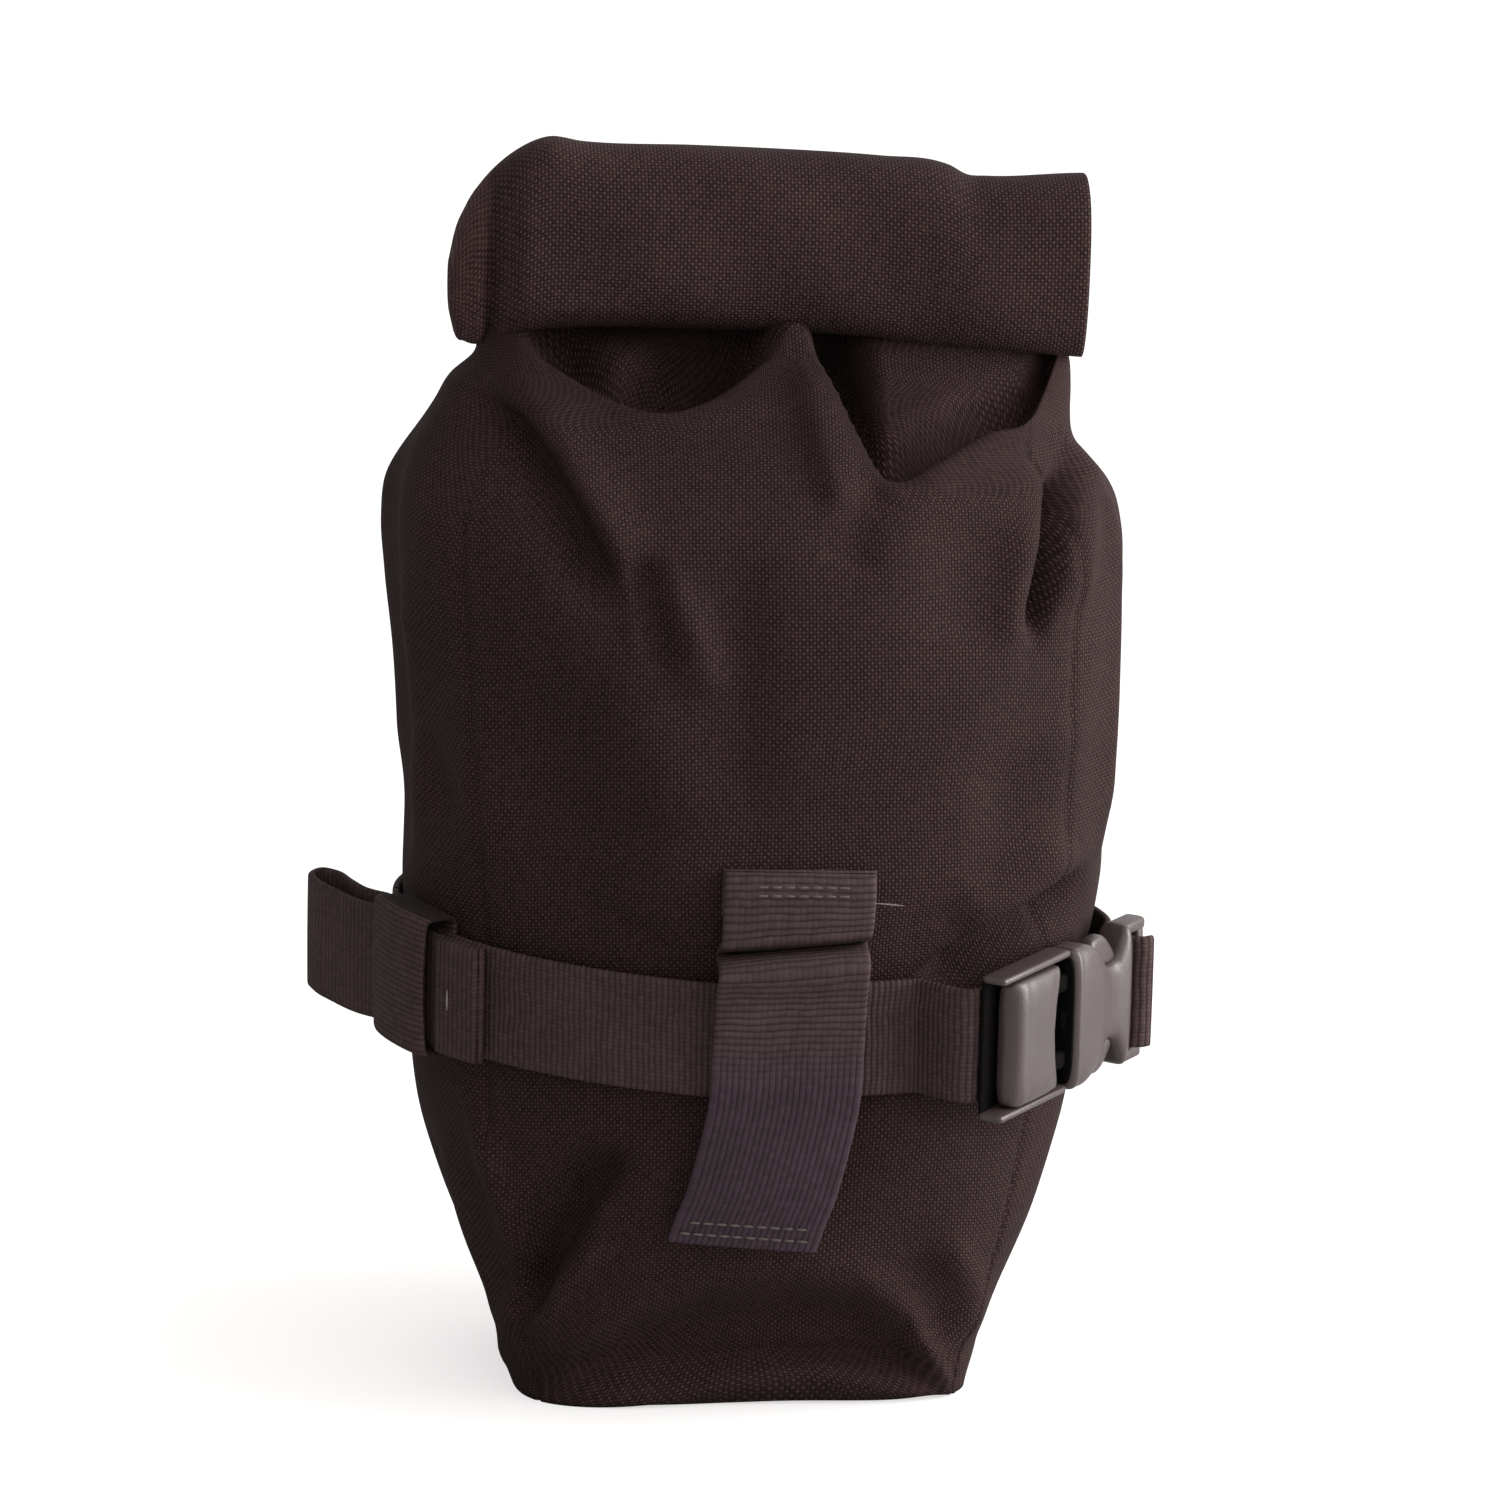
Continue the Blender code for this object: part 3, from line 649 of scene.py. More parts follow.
def led_on(path, places, count):
    """A path carried on smoothly through places on the buckle."""
    places = [buckle_place(*place) for place in places]
    return np.concatenate([path[:-1], spline([path[-1], *places], count)])


def strap_rear_mesh():
    """Round the back to the socket, and round the socket's bar."""
    ending = ((47.4, -6.4), (44.9, -5.4), (42.4, -4.6), (41.1, -2.6), (41.1, 1.2), (42.0, 3.6), (43.6, 4.3))
    return strap_piece("strap_rear_web", led_on(strap_line(177, 10, 150), ending, 40))


def buckle_run_mesh():
    """From under the front loop to the plug, easing out to the buckle's line."""
    ending = ((-4.0, -4.2), (2.5, -3.0), (5.0, -2.9))
    return strap_piece("buckle_run_web", led_on(strap_line(268, 292, 24), ending, 20))


def male_fold_mesh():
    """The strap's end up through the plug's first slot, over its bar and down the second."""
    outline = ((5.0, -2.9), (6.6, -2.7), (7.4, -1.0), (7.6, 0.3), (8.6, 1.4), (10.0, 1.6), (11.4, 1.4),
               (12.2, 0.3), (12.3, -1.2), (12.4, -2.2))
    path = spline([buckle_place(*place) for place in outline], 40)
    return strap_piece("male_fold_web", path, thickness=STRAP_THICK * 0.85)


TAIL_BIGHT = (  # X and Y of the strap's middle where it leaves the keeper, bends tightly and comes back
    (-68.4, -4.4), (-71.6, 0), (-74.6, 5.2), (-75.2, 8.6), (-73.5, 10.4), (-71, 9), (-68.6, 4.6),
    (-66.2, 0.6),
)
TAIL_OFFSET = STRAP_OFFSET + STRAP_THICK + 0.9
HEM_OFFSET = STRAP_OFFSET + 2 * STRAP_THICK + 1.9


def tail_mesh():
    """The free tail: a hemmed end in front, under the keeper, and a tight bight on the left."""
    lying = strap_line(221.8, 192, 56, TAIL_OFFSET + 0.9)
    returning = strap_line(182, 188, 8, TAIL_OFFSET - 0.2)
    loose = [(x, y, 75.6 + 0.10 * (y + 5)) for x, y in TAIL_BIGHT]
    joined = spline([lying[-1], *loose, returning[0]], 90)
    return strap_piece("strap_tail_web", np.concatenate([lying[:-1], joined[:-1], returning]), 0.4)


def hem_mesh():
    """The tail's end, turned over once and sewn."""
    return strap_piece("tail_hem_web", strap_line(221.4, 212, 20, HEM_OFFSET), 0.2, STRAP_THICK * 0.9)


KEEPER_INNER = STRAP_OFFSET - 0.7
KEEPER_OUTER = STRAP_OFFSET + 2 * STRAP_THICK + 3.4
KEEPER_HALF = STRAP_WIDTH / 2 + 1.8
KEEPER_CORNER = 1.1
KEEPER_WALL = 0.9
KEEPER_ROWS = 24
KEEPER_ROW_PITCH = 0.7
KEEPER_ANGLE = 201.5    # its middle and its reach to each side, in degrees round the strap
KEEPER_REACH = 9.5
KEEPER_BOW = 0.88       # how far its front bows, in degrees


def keeper_outline():
    """The keeper's rounded oblong: distances outwards from the body and up from the strap's middle."""
    outer, inner = KEEPER_OUTER - KEEPER_CORNER, KEEPER_INNER + KEEPER_CORNER
    top = KEEPER_HALF - KEEPER_CORNER
    shape = []
    for out, up, start in ((outer, top, 90), (outer, -top, 0), (inner, -top, -90), (inner, top, -180)):
        for turn in np.radians(np.linspace(start, start - 90, 6)):
            shape.append((out + KEEPER_CORNER * math.cos(turn), up + KEEPER_CORNER * math.sin(turn)))
    dense = []
    for (out, up), (next_out, next_up) in zip(shape, shape[1:] + shape[:1]):
        count = max(1, int(abs(next_up - up) / 1.2))
        for share in np.arange(count) / count:
            dense.append((out + (next_out - out) * share, up + (next_up - up) * share))
    return dense


def keeper_mesh():
    """A closed band of thinner webbing round the strap and its tail."""
    rows = []
    for wall, order in ((KEEPER_WALL / 2, 1), (-KEEPER_WALL / 2, -1)):
        for share in np.linspace(-1.0, 1.0, KEEPER_ROWS)[::order]:
            grow = wall * (1 - 0.7 * share**8)
            edge = 0.35 * (1 - share**4)
            ring = []
            for out, up in keeper_outline():
                in_front = out > (KEEPER_INNER + KEEPER_OUTER) / 2
                bow = KEEPER_BOW * (1 - (up / KEEPER_HALF) ** 2) if in_front else 0.0
                angle = KEEPER_ANGLE - KEEPER_REACH * share - bow
                x, y, z = ring_point(angle, out + (grow if in_front else -grow) + edge)
                ring.append((x, y, z + 0.7 + up + grow * up / KEEPER_HALF))
            rows.append(ring)
    points = np.array(rows)
    rows, columns = points.shape[:2]
    faces = grid_faces(rows, columns) + closing_faces(rows, columns)
    around = lengths_along(points[0])
    uv = [(around[v % columns] * MM, v // columns * KEEPER_ROW_PITCH * MM) for face in faces for v in face]
    return face_outwards(make_mesh("keeper_web", points.reshape(-1, 3), faces, uv))


LOOP_PATH = np.array((  # height, X of the middle, Y of the middle of its thickness
    (101.2, 4, -47), (99, 3.95, -47.9), (95, 3.8, -48.6), (91.5, 3.6, -49), (90, 3.4, -48.7),
    (89.2, 3.35, -46.4), (88, 3.2, -44.8), (87.2, 3.05, -46.2), (86.9, 3, -49.6), (86.2, 2.9, -52),
    (84.6, 2.8, -52.3), (81.5, 2.6, -51.6),
    (76, 2.4, -51.2), (70, 2.2, -51), (64.5, 2.1, -50.3), (61, 1.9, -49.2), (56, 1.2, -47.8),
    (50, 0.1, -46.4), (44, -1.2, -44.8), (39, -2.7, -43.2), (36, -3.5, -42.4), (34.6, -3.9, -42.1),
))
LOOP_SLOPE = np.array((  # height, and how far the loop's cross direction leans there
    (34.6, -0.09), (44, -0.06), (62, -0.005), (82, 0.02), (86, 0.085), (90, 0.075),
    (96, -0.012), (101.2, -0.022),
))


def loop_at(heights):
    """The front loop's middle line and its slanting cross direction at these heights."""
    x, y = smooth_table(LOOP_PATH[::-1], heights)
    slope = np.interp(heights, *LOOP_SLOPE.T)
    sides = np.column_stack([np.ones(len(heights)), np.zeros(len(heights)), slope])
    return np.column_stack([x, y, heights]), unit(sides)


def front_loop_mesh():
    """The wide loop in front, sewn at its top and its bottom, with the strap passing under it."""
    path, sides = loop_at(np.linspace(LOOP_PATH[0, 0], LOOP_PATH[-1, 0], 200))
    return ribbon("front_loop_web", path, sides, LOOP_WIDTH, 1.5, crown=0.35)


def loop_hem_mesh():
    """The turned-over end of the loop, under its stitching."""
    path, sides = loop_at(np.linspace(101.6, 94.4, 24))
    return ribbon("loop_hem_web", path + np.array((0, 1.0, 0)), sides, LOOP_WIDTH + 0.4, 1.4, crown=0.2)


def loop_stitch_runs():
    """Two short rows in the loop's top hem and two along its sewn bottom."""
    for height, *ends in ((99.3, -7.5, 8.5), (97.9, -7.5, 8.5), (38.6, -10.5, 10.0), (36.4, -11.5, 10.8)):
        path, sides = loop_at(np.array([height]))
        yield path + sides * np.array(ends)[:, None] + (0, -0.95, 0), (0, -1, 0)


def tail_stitch_runs():
    """One upright stitch that holds the tail's turned-over end."""
    middle = ring_point(215.4, HEM_OFFSET + 0.6)
    half = np.array((0, 0, 2.6))
    yield (middle - half, middle + half), unit(middle - ring_point(215.4, 0.0))


def rear_loop_mesh(name, angle):
    """A loop on the back, sewn down at its ends, that stands off where the strap passes."""
    heights = np.linspace(45.0, 98.0, 80)
    rise = smoothstep(13.5, 9.8, np.abs(heights - 72.0) * 0.92)
    lean = 0.25 * math.cos(math.radians(angle))
    path = np.column_stack(body_point(np.full(80, angle), heights))
    path += unit(np.array((lean, 1.0, 0.0))) * (1.2 + 3.4 * rise)[:, None]
    return ribbon(name, path, np.tile(unit(np.array((1.0, -lean, 0.0))), (80, 1)), 20.0, 1.3)


# --- the buckle -------------------------------------------------------------------------------------

def buckle_loft(sections, power=5.0, columns=56, scoop=0.0):
    """A moulded body along the buckle. A section is its distance, half width, lowest and highest depth.
    scoop draws the middle of its far edge back by that much."""
    turns = np.linspace(0, math.tau, columns, endpoint=False)
    rings = []
    for distance, half, low, high in sections:
        rise = half * signed_power(np.cos(turns), 2 / power)
        depth = (low + high) / 2 + (high - low) / 2 * signed_power(np.sin(turns), 2 / power)
        back = scoop * smoothstep(6.0, 14.0, distance) * (1 - (rise / half) ** 2)
        rings.append(np.column_stack(buckle_place(distance - back, depth, rise)))
    return tube("moulding", rings)


def rounded_ends(start, end, half, low, high, round_off=0.9):
    """Sections of a bar whose two ends are rounded off."""
    sections = []
    for share in (0.0, 0.25, 0.6, 1.0):
        shrink = round_off * (1 - math.sqrt(1 - (1 - share) ** 2))
        sections.append((start + round_off * share, half - shrink, low + shrink, high - shrink))
    return sections + [(start + end - row[0], *row[1:]) for row in reversed(sections)]


def merged(name, meshes):
    """One mesh of several moulded bodies, with sharp edges."""
    shape = bmesh.new()
    for mesh in meshes:
        shape.from_mesh(mesh)
    mesh = mesh_of(name, shape)
    mesh.set_sharp_from_angle(angle=math.radians(50))
    return mesh


def bar_pair(sections, rise):
    """Two equal bars, below and above the middle of the strap."""
    pair = []
    for side in (-1, 1):
        mesh = buckle_loft(sections, 4.0, 24)
        for vertex in mesh.vertices:
            vertex.co.z += side * rise * MM
        pair.append(mesh)
    return pair


def plug_mesh():
    """The plug's outside: a cover plate with a scooped edge, held between two rails."""
    cover = fine_table((
        (-0.6, 10, -1, 0.8), (-0.2, 10.6, -1.4, 2), (0.8, 10.9, -1.6, 2.9), (3.5, 11, -1.7, 3.3),
        (8, 11, -1.7, 3.4), (12.6, 10.9, -1.7, 3.2), (14.6, 10.7, -1.6, 2.7), (15.2, 10.3, -1.2, 1.9),
    ), 34)
    rails = bar_pair(rounded_ends(-4.4, 18.6, 0.7, -2.5, 2.1, 0.6), 12.0)
    return merged("plug", [buckle_loft(cover, scoop=2.4), *rails])


def plug_core_mesh():
    """The plug's inside, always in shade: a floor plate, the roots of the two arms and the centre guide.
    Its near-black colour is painted shade.
    """
    floor = buckle_loft(rounded_ends(-4.0, 18.4, 11.7, -2.9, -2.0, 0.4))
    arms = bar_pair(rounded_ends(13.5, 20.6, 1.6, -1.7, 1.7, 0.4), 6.8)
    guide = buckle_loft(rounded_ends(17.8, 33.3, 1.8, -1.5, 1.5, 0.6), 4.0)
    return merged("plug_core", [floor, *arms, guide])


PRONG = (  # distance along the buckle, lowest and highest height of the arm
    (17.4, 5.4, 8.2), (22, 5.8, 8.5), (26, 6.2, 8.9), (27.2, 6.4, 11.4), (29, 6.5, 12.2),
    (32.5, 6.6, 11.6), (34.8, 6.8, 9), (35.3, 7.1, 8.2),
)
PRONG_HALF_DEPTH = 1.5


def prong_mesh(name, side):
    """A sprung arm that ends in a catch."""
    turns = np.linspace(0, math.tau, 24, endpoint=False)
    depth = PRONG_HALF_DEPTH * signed_power(np.sin(turns), 0.5)
    rings = []
    for distance, low, high in fine_table(PRONG, 30):
        rise = (low + high) / 2 + (high - low) / 2 * signed_power(np.cos(turns), 0.5)
        rings.append(np.column_stack(buckle_place(distance, depth, side * rise)))
    return tube(name, rings)


def socket_mouth_mesh():
    """A near-black plate across the socket's open end: painted shade for the dark inside seen through it.
    """
    return merged("socket_mouth", [buckle_loft(rounded_ends(18.5, 19.8, 11.4, -2.8, 2.8, 0.2))])


def socket_mesh():
    """The socket: an hourglass body, open at its mouth, with flared shoulders and a bar for the strap."""
    body = fine_table((
        (19, 12, -3, 2.9), (19.5, 12.4, -3.5, 3.5), (21, 12.5, -3.6, 3.7), (25, 12.1, -3.6, 3.7),
        (28, 10.4, -3.6, 3.5), (30.5, 7.7, -3.5, 3.1), (33, 6.8, -3.5, 2.8), (35.2, 7.7, -3.5, 2.9),
        (36.6, 10.4, -3.5, 3.2), (37.8, 12.3, -3.4, 3.4), (38.8, 12.6, -3.3, 3.2), (39.4, 12.3, -2.9, 2.7),
        (39.8, 11.8, -2.2, 2),
    ), 70)
    rails = bar_pair(rounded_ends(38.0, 45.6, 1.15, -2.0, 2.0, 0.7), 11.5)
    bar = buckle_loft(rounded_ends(43.4, 45.8, 12.6, -1.6, 1.8, 0.8))
    return merged("socket", [buckle_loft(body), *rails, bar])


# --- stitches ---------------------------------------------------------------------------------------

def stitch_mesh(name, runs, pitch=2.1, radius=0.26):
    """Short raised threads along each run: a list of points on the surface and the outward direction."""
    shape = bmesh.new()
    for points, outward in runs:
        points = np.asarray(points, dtype=float)
        total = lengths_along(points)[-1]
        count = max(1, int(total / pitch))
        for number in range(count):
            first, last = points_at((number + np.array((0.12, 0.82))) * total / count, points)
            middle = (first + last) / 2 + np.asarray(outward) * 0.12
            direction = Vector(last - first)
            made = bmesh.ops.create_uvsphere(shape, u_segments=8, v_segments=6, radius=1.0)
            spin = direction.to_track_quat("Z", "Y").to_matrix().to_4x4()
            size = Matrix.Diagonal((radius, radius, direction.length / 2 + radius * 0.6, 1.0))
            placed = Matrix.Translation(Vector(middle)) @ spin @ size
            bmesh.ops.transform(shape, matrix=placed, verts=made["verts"])
    bmesh.ops.scale(shape, vec=(MM, MM, MM), verts=shape.verts)
    return mesh_of(name, shape)


# --- materials --------------------------------------------------------------------------------------

class Graph:
    """A node tree, with short ways to add the nodes used here."""

    def __init__(self, tree):
        self.tree = tree

    def add(self, kind, **settings):
        node = self.tree.nodes.new(kind)
        for key, value in settings.items():
            setattr(node, key, value)
        return node

    def plug(self, value, socket):
        if isinstance(value, bpy.types.NodeSocket):
            self.tree.links.new(value, socket)
        else:
            socket.default_value = value

    def math(self, operation, *values):
        node = self.add("ShaderNodeMath", operation=operation)
        for value, socket in zip(values, node.inputs):
            self.plug(value, socket)
        return node.outputs[0]

    def plus(self, first, second):
        return self.math("ADD", first, second)

    def times(self, first, second):
        return self.math("MULTIPLY", first, second)

    def over(self, first, second):
        return self.math("DIVIDE", first, second)

    def split(self, vector):
        node = self.add("ShaderNodeSeparateXYZ")
        self.plug(vector, node.inputs[0])
        return node.outputs

    def place(self):
        return self.add("ShaderNodeTexCoord").outputs["Object"]

    def noise(self, scale, detail=2.0, rough=0.5):
        node = self.add("ShaderNodeTexNoise")
        self.plug(self.place(), node.inputs["Vector"])
        for name, value in (("Scale", scale), ("Detail", detail), ("Roughness", rough)):
            node.inputs[name].default_value = value
        return node.outputs["Fac"]

    def spread(self, value, low, high, to_low, to_high):
        """Moves values from one range to another."""
        node = self.add("ShaderNodeMapRange")
        for source, socket in zip((value, low, high, to_low, to_high), node.inputs):
            self.plug(source, socket)
        return node.outputs[0]

    def varied(self, noise, low, high):
        """Spreads a noise's usual range between two values."""
        return self.spread(noise, 0.3, 0.7, low, high)

    def camera_ray(self):
        return self.add("ShaderNodeLightPath").outputs["Is Camera Ray"]

    def tint(self, colour, factor):
        """A colour times a varying brightness."""
        node = self.add("ShaderNodeVectorMath", operation="SCALE")
        node.inputs[0].default_value = colour
        self.plug(factor, node.inputs["Scale"])
        return node.outputs[0]

    def mix(self, factor, first, second):
        """One colour where factor is 0 and the other where it is 1."""
        node = self.add("ShaderNodeMix", data_type="RGBA")
        for value, number in ((factor, 0), (first, 6), (second, 7)):
            self.plug(value, node.inputs[number])
        return node.outputs[2]

    def bump(self, height, distance, before=None):
        node = self.add("ShaderNodeBump")
        node.inputs["Distance"].default_value = distance
        self.plug(height, node.inputs["Height"])
        if before is not None:
            self.plug(before, node.inputs["Normal"])
        return node.outputs[0]


class Look(Graph):
    """A material's node graph."""

    def __init__(self, name):
        self.material = bpy.data.materials.new(name)
        self.material.use_nodes = True
        super().__init__(self.material.node_tree)
        self.shader = self.tree.nodes["Principled BSDF"]

    def cloth_uv(self):
        """The cloth's own directions, in metres: along it and across it."""
        return self.split(self.add("ShaderNodeUVMap", uv_map="cloth").outputs[0])[:2]

    def finish(self, colour, roughness, normal, specular):
        for name, value in (("Base Color", colour), ("Roughness", roughness),
                            ("Specular IOR Level", specular), ("Sheen Roughness", 0.5)):
            self.plug(value, self.shader.inputs[name])
        if normal is not None:
            self.plug(normal, self.shader.inputs["Normal"])
        return self.material


def hump(look, place, power):
    """A row of rounded humps, one for each whole number of place."""
    wave = look.math("ABSOLUTE", look.math("SINE", look.times(place, math.pi)))
    return look.math("POWER", wave, power)


def cell_noise(look, a, b, seed):
    """An even random number for each cell of the plane."""
    join = look.add("ShaderNodeCombineXYZ")
    for value, socket in zip((look.math("FLOOR", a), look.math("FLOOR", b), seed), join.inputs):
        look.plug(value, socket)
    node = look.add("ShaderNodeTexWhiteNoise", noise_dimensions="3D")
    look.plug(join.outputs[0], node.inputs["Vector"])
    return node.outputs["Value"]


FIBRE = 0.14           # how much of a weave's height is loose fibre
YARN_ROUGHNESS = 0.05  # how much the roughness differs from yarn to yarn


def woven(name, colour, pitch, depth, roughness, specular, worn=0.25, paler_beyond=None):
    """A plain weave: warp yarns catch the light on every second cell, and weft yarns lie lower between. Its
    colour is painted lighter on the high warp and darker on the low weft: painted highlight and painted
    shade.
    The last argument, if given, holds two X, and how much paler the cloth is beyond the first than past the
    second."""
    look = Look(name)
    u, v = look.cloth_uv()
    a = look.plus(look.over(u, pitch), look.times(look.noise(60.0), 0.6))
    b = look.plus(look.over(v, pitch), look.times(look.noise(52.0, rough=0.6), 0.6))
    parity = look.math("MODULO", look.plus(look.math("FLOOR", a), look.math("FLOOR", b)), 2.0)
    parity = look.math("ABSOLUTE", parity)
    warp = look.times(hump(look, a, 0.9), hump(look, b, 0.6))
    weft = look.times(look.times(hump(look, a, 0.6), hump(look, b, 0.9)), 0.30)
    height = look.plus(look.times(parity, warp), look.times(look.math("SUBTRACT", 1.0, parity), weft))
    height = look.plus(height, look.times(look.noise(5200.0, 3.0, 0.7), FIBRE))
    yarn = cell_noise(look, a, b, 3.0)
    # lighter where the yarn stands high, darker where it lies low: painted highlight and painted shade; the
    # yarn noise is random tone
    shade = look.plus(look.spread(height, 0.1, 1.05, 0.34, 1.85), look.spread(yarn, 0, 1, -0.20, 0.20))
    shade = look.times(shade, look.varied(look.noise(34.0, 3.0, 0.6), 1.0 - worn / 2, 1.0 + worn / 2))
    if paler_beyond is not None:
        shade = look.times(shade, look.spread(look.split(look.place())[0], *paler_beyond, 1.0))
    rough = look.spread(yarn, 0, 1, roughness - YARN_ROUGHNESS, roughness + YARN_ROUGHNESS)
    return look.finish(look.tint(colour, shade), rough, look.bump(height, depth), specular)


def webbed(name, colour, rib, cord, depth, roughness, specular, grid, fade=None):
    """Webbing: ribs across the band, crossed by fine lengthwise cords. From the first to the second place
    of fade, in metres along the band, the ribs give way to the cords and the colour to fade's own."""
    look = Look(name)
    u, v = look.cloth_uv()
    along = look.plus(look.over(u, rib), look.times(look.noise(150.0), 0.9))
    column = look.over(v, cord)
    ribs = hump(look, along, 0.75)
    cords = hump(look, column, 0.6)
    crossing = look.times(ribs, look.spread(cords, 0, 1, 1.0 - grid, 1.0))
    if fade is not None:
        turned = look.spread(u, fade[0], fade[1], 0.0, 1.0)
        lengthwise = look.times(cords, look.spread(ribs, 0, 1, 0.86, 1.0))
        crossing = look.plus(look.times(crossing, look.math("SUBTRACT", 1.0, turned)),
                             look.times(lengthwise, turned))
    height = look.plus(crossing, look.times(look.noise(6000.0, rough=0.7), FIBRE))
    yarn = cell_noise(look, along, column, 5.0)
    # lighter on the high ribs and cords, darker in the low gaps between them: painted highlight and painted
    # shade; the yarn noise is random tone
    shade = look.plus(look.spread(height, 0.1, 1.05, 0.58, 1.24), look.spread(yarn, 0, 1, -0.16, 0.16))
    shade = look.times(shade, look.varied(look.noise(60.0), 0.88, 1.12))
    tinted = look.tint(colour, shade)
    if fade is not None:
        tinted = look.mix(turned, tinted, look.tint(fade[2], shade))
    return look.finish(tinted, roughness, look.bump(height, depth), specular)


def moulded(name, colour, roughness, specular):
    """Satin moulded plastic with a fine spark-eroded grain and slight wear."""
    look = Look(name)
    grain = look.noise(2600.0, 3.0, 0.6)
    broad = look.noise(70.0, 3.0, 0.6)
    wear = look.varied(broad, roughness - 0.03, roughness + 0.04)
    rough = look.plus(look.varied(grain, -0.05, 0.06), wear)
    normal = look.bump(grain, 0.00005, look.bump(broad, 0.0002))
    return look.finish(look.tint(colour, look.varied(broad, 0.92, 1.09)), rough, normal, specular)


def napped(name, colour, scale, depth):
    """A short pile or board surface, with no cloth directions of its own."""
    look = Look(name)
    fine = look.noise(scale, 4.0, 0.75)
    shade = look.times(look.varied(fine, 0.7, 1.25), look.varied(look.noise(scale / 30, 3.0), 0.9, 1.1))
    return look.finish(look.tint(colour, shade), look.varied(fine, 0.8, 0.95), look.bump(fine, depth), 0.2)


def thread_look(name, colour):
    look = Look(name)
    fibre = look.noise(7000.0)
    shade = look.tint(colour, look.varied(fibre, 0.75, 1.2))
    return look.finish(shade, 0.7, look.bump(fibre, 0.00005), 0.3)


# --- putting it together ----------------------------------------------------------------------------

def new_object(data):
    """A new object, named after its data: a mesh, a light or a camera."""
    thing = bpy.data.objects.new(data.name, data)
    bpy.context.scene.collection.objects.link(thing)
    return thing


def dress(thing, material, slot, *nodes):
    """Gives a piece its material and hides the CAD nodes that it stands for. slot is not used."""
    thing.data.materials.clear()
    thing.data.materials.append(material)
    if nodes:
        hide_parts(*nodes)


def add_pieces(material, slot, *pieces):
    """Adds pieces of one material: each one's mesh, its body and the CAD nodes that it stands for."""
    for mesh, body, *nodes in pieces:
        thing = new_object(mesh)
        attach(thing, body)
        dress(thing, material, slot, *nodes)


def build_bag():
    """Every piece of the bag, on its body. Colours are linear, and the sizes in a look are in metres."""
    fabric = woven("bag_weave", (0.0290, 0.0148, 0.0143), 0.00060, 0.00024, 0.80, 0.10)
    # the roll's cloth is paler to the left of X = -45.5 mm, up to 1.7 times beyond X = -47.5 mm
    roll_fabric = woven("roll_weave", (0.0370, 0.0195, 0.0190), 0.00060, 0.00024, 0.80, 0.10,
                        paler_beyond=(-0.0475, -0.0455, 1.7))
    web = webbed("strap_webbing", (0.0390, 0.0235, 0.0230), 0.00100, 0.00078, 0.00020, 0.72, 0.12, 0.5)
    loop_web = webbed("loop_webbing", (0.0380, 0.0235, 0.0238), 0.00120, 0.00110, 0.00018, 0.70, 0.14, 0.3,
                      (0.036, 0.046, (0.0330, 0.0205, 0.0270)))
    plastic = moulded("buckle_satin", (0.043, 0.030, 0.029), 0.35, 0.5)
    # near-black plastic: painted shade in the plug's gaps and across the socket's open end
    painted_shade_plastic = moulded("buckle_painted_shade", (0.0040, 0.0034, 0.0034), 0.85, 0.02)
    thread = thread_look("thread", (0.070, 0.055, 0.048))
    bright_thread = thread_look("bright_thread", (0.16, 0.14, 0.13))
    board = napped("stiffener_board", (0.020, 0.020, 0.020), 900.0, 0.00008)
    tape = napped("tape_pile", (0.022, 0.020, 0.020), 2400.0, 0.00030)
    lining = napped("lining_cloth", (0.060, 0.055, 0.055), 1800.0, 0.00012)

    shell = new_object(shell_mesh())
    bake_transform(shell)
    dress(shell, fabric, "outer_fabric", "front_panel", "rear_panel", "gusset_left", "gusset_right",
          "base_panel", "collar")

    add_pieces(roll_fabric, "outer_fabric", (roll_mesh(), "roll", "roll_top"))
    add_pieces(
        web, "webbing",
        (strap_front_mesh(), "bag", "strap_front"),
        (strap_rear_mesh(), "bag", "strap_rear"),
        (tail_mesh(), "bag", "strap_tail"),
        (hem_mesh(), "bag"),
        (keeper_mesh(), "keeper", "strap_keeper"),
        (male_fold_mesh(), "buckle_plug", "strap_male_fold"),
        (rear_loop_mesh("rear_loop_left_web", 112.0), "bag", "rear_loop_left"),
        (rear_loop_mesh("rear_loop_right_web", 68.0), "bag", "rear_loop_right"),
    )
    add_pieces(loop_web, "webbing", (front_loop_mesh(), "bag", "front_loop"), (loop_hem_mesh(), "bag"))
    add_pieces(thread, "webbing", (stitch_mesh("loop_stitches", loop_stitch_runs()), "bag"))

    run = new_object(buckle_run_mesh())
    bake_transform(run)
    dress(run, web, "webbing", "strap_buckle_run")
    add_pieces(
        plastic, "buckle_plastic",
        (plug_mesh(), "buckle_plug", "buckle_male"),
        (prong_mesh("catch_upper", 1), "prong_up", "prong_upper"),
        (prong_mesh("catch_lower", -1), "prong_low", "prong_lower"),
        (socket_mesh(), "bag", "buckle_female"),
    )
    # the plug's inside and the plate in the socket's mouth, both in painted shade
    add_pieces(painted_shade_plastic, "buckle_plastic", (plug_core_mesh(), "buckle_plug"), (socket_mouth_mesh(), "bag"))

    loose_run = (((15.2, -49.6, 96.9), (22.4, -50.2, 96.4)), (0, -1, 0))
    add_pieces(
        bright_thread, "webbing",
        (stitch_mesh("tail_stitch", tail_stitch_runs(), 5.0, 0.2), "bag"),
        (stitch_mesh("loose_thread", [loose_run], 7.0, 0.14), "bag"),
    )
    for name in ("base_stiffener", "back_stiffener", "mouth_stiffener"):
        dress(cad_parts[name], board, "stiffener_board")
    for name in ("hook_tape", "loop_tape"):
        dress(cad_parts[name], tape, "hook_and_loop_tape")
    add_pieces(lining, "lining", (lining_mesh(), "bag", "liner"))


# --- the room ---------------------------------------------------------------------------------------

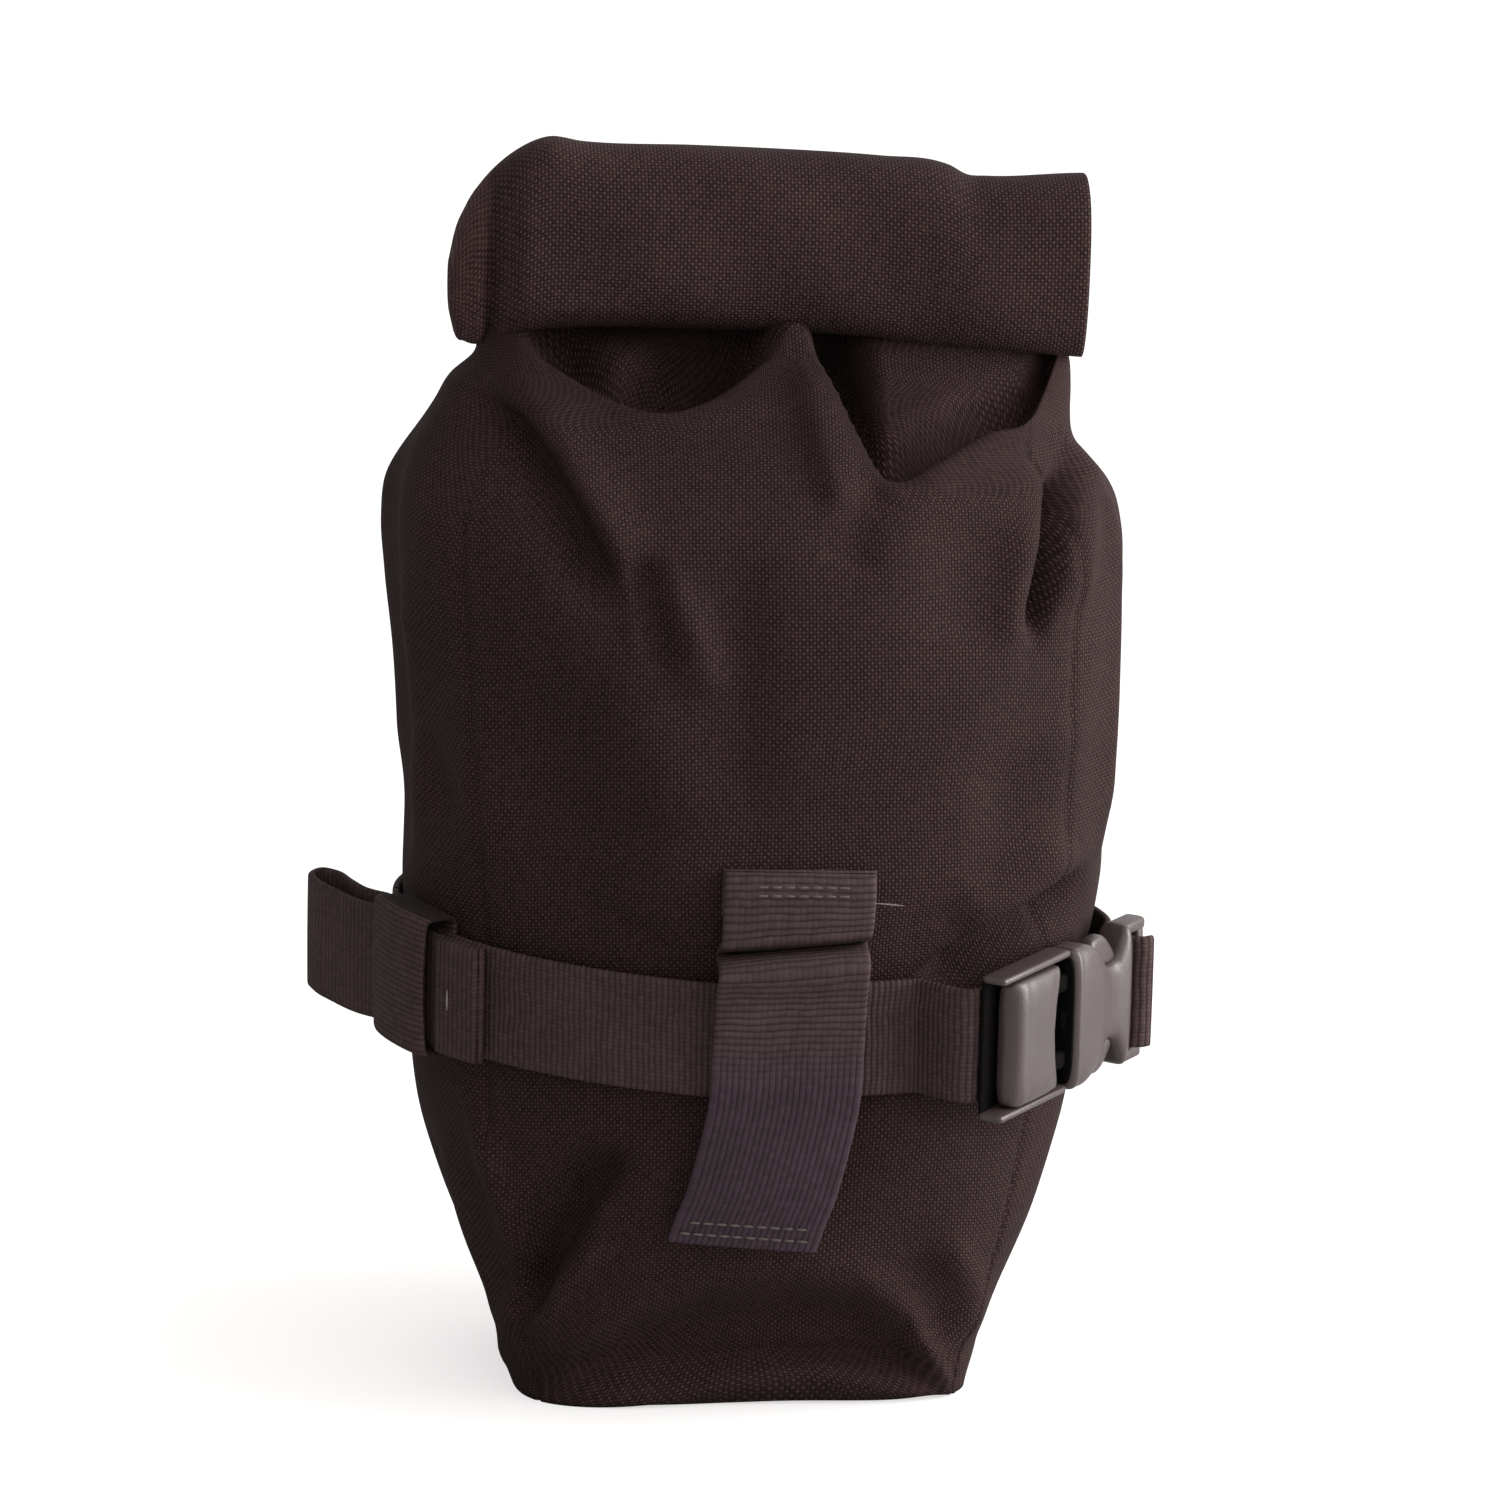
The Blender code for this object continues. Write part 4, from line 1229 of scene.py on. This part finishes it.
CAMERA_TURN = -6.0      # degrees round the bag, towards its left
CAMERA_RISE = 14.0      # degrees above the level
CAMERA_DISTANCE = 1.2
CAMERA_TARGET = Vector((0.0, 0.0, 0.105))
CAMERA_LENS = 166.2
CAMERA_LIFT = 0.0056    # how far the camera is moved up its own picture
CAMERA_ROLL = 1.3       # degrees
FLOOR_SIDE = 6.0        # half the floor's width
FLOOR_GLOW = 0.62       # the camera alone sees this glow
WORLD_TOWARDS = (0.90, -0.44, -0.05)
WORLD_LIGHT = (0.26, 2.10)   # on the far side, and on the side towards which the world is brighter


def add_floor():
    mesh = bpy.data.meshes.new("floor")
    corners = [(x * FLOOR_SIDE, y * FLOOR_SIDE, 0) for x, y in ((-1, -1), (1, -1), (1, 1), (-1, 1))]
    mesh.from_pydata(corners, [], [(0, 1, 2, 3)])
    floor = new_object(mesh)
    look = Look("floor_white")
    white = look.tint((0.44, 0.434, 0.430), look.spread(look.noise(40.0), 0, 1, 0.99, 1.01))
    floor.data.materials.append(look.finish(white, 0.8, None, 0.1))
    look.shader.inputs["Emission Color"].default_value = (1.0, 0.985, 0.98, 1.0)
    look.plug(look.times(look.camera_ray(), FLOOR_GLOW), look.shader.inputs["Emission Strength"])
    floor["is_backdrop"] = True


def add_world():
    """White all round to the camera. As a light it is brighter from the right and the front."""
    world = bpy.data.worlds.new("studio")
    bpy.context.scene.world = world
    world.use_nodes = True
    graph = Graph(world.node_tree)
    back = graph.tree.nodes["Background"]
    dot = graph.add("ShaderNodeVectorMath", operation="DOT_PRODUCT")
    graph.plug(graph.add("ShaderNodeTexCoord").outputs["Generated"], dot.inputs[0])
    dot.inputs[1].default_value = WORLD_TOWARDS
    light = graph.spread(dot.outputs["Value"], -1.0, 1.0, *WORLD_LIGHT)
    pick = graph.add("ShaderNodeMix", data_type="FLOAT")
    for value, number in ((graph.camera_ray(), 0), (light, 2), (1.0, 3)):
        graph.plug(value, pick.inputs[number])
    graph.plug(pick.outputs[0], back.inputs["Strength"])
    back.inputs["Color"].default_value = (1.0, 0.995, 0.99, 1.0)


def add_light(name, place, target, width, height, power):
    lamp = bpy.data.lights.new(name, "AREA")
    lamp.shape = "RECTANGLE"
    lamp.size, lamp.size_y = width, height
    lamp.energy = power
    thing = new_object(lamp)
    thing.location = place
    thing.rotation_euler = (Vector(target) - Vector(place)).to_track_quat("-Z", "Y").to_euler()


def add_camera():
    turn, rise = math.radians(CAMERA_TURN), math.radians(CAMERA_RISE)
    back = Vector((math.sin(turn) * math.cos(rise), -math.cos(turn) * math.cos(rise), math.sin(rise)))
    up = Vector((-math.sin(turn) * math.sin(rise), math.cos(turn) * math.sin(rise), math.cos(rise)))
    data = bpy.data.cameras.new("camera")
    data.lens = CAMERA_LENS
    data.sensor_width = 36.0
    data.clip_start, data.clip_end = 0.05, 50.0
    camera = new_object(data)
    place = Matrix.Translation(CAMERA_TARGET + back * CAMERA_DISTANCE + up * CAMERA_LIFT)
    facing = (-back).to_track_quat("-Z", "Y").to_matrix().to_4x4()
    camera.matrix_world = place @ Matrix.Rotation(math.radians(CAMERA_ROLL), 4, back) @ facing
    bpy.context.scene.camera = camera


build_bag()
add_floor()
add_world()
add_light("key", (0.52, -0.10, 0.22), (0, 0, 0.1), 0.30, 0.50, 4.9)
add_camera()
bpy.context.scene.view_settings.view_transform = "Standard"
[[list(map(float, corner)) for corner in box] for box in (CAD_BOUNDS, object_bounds())]
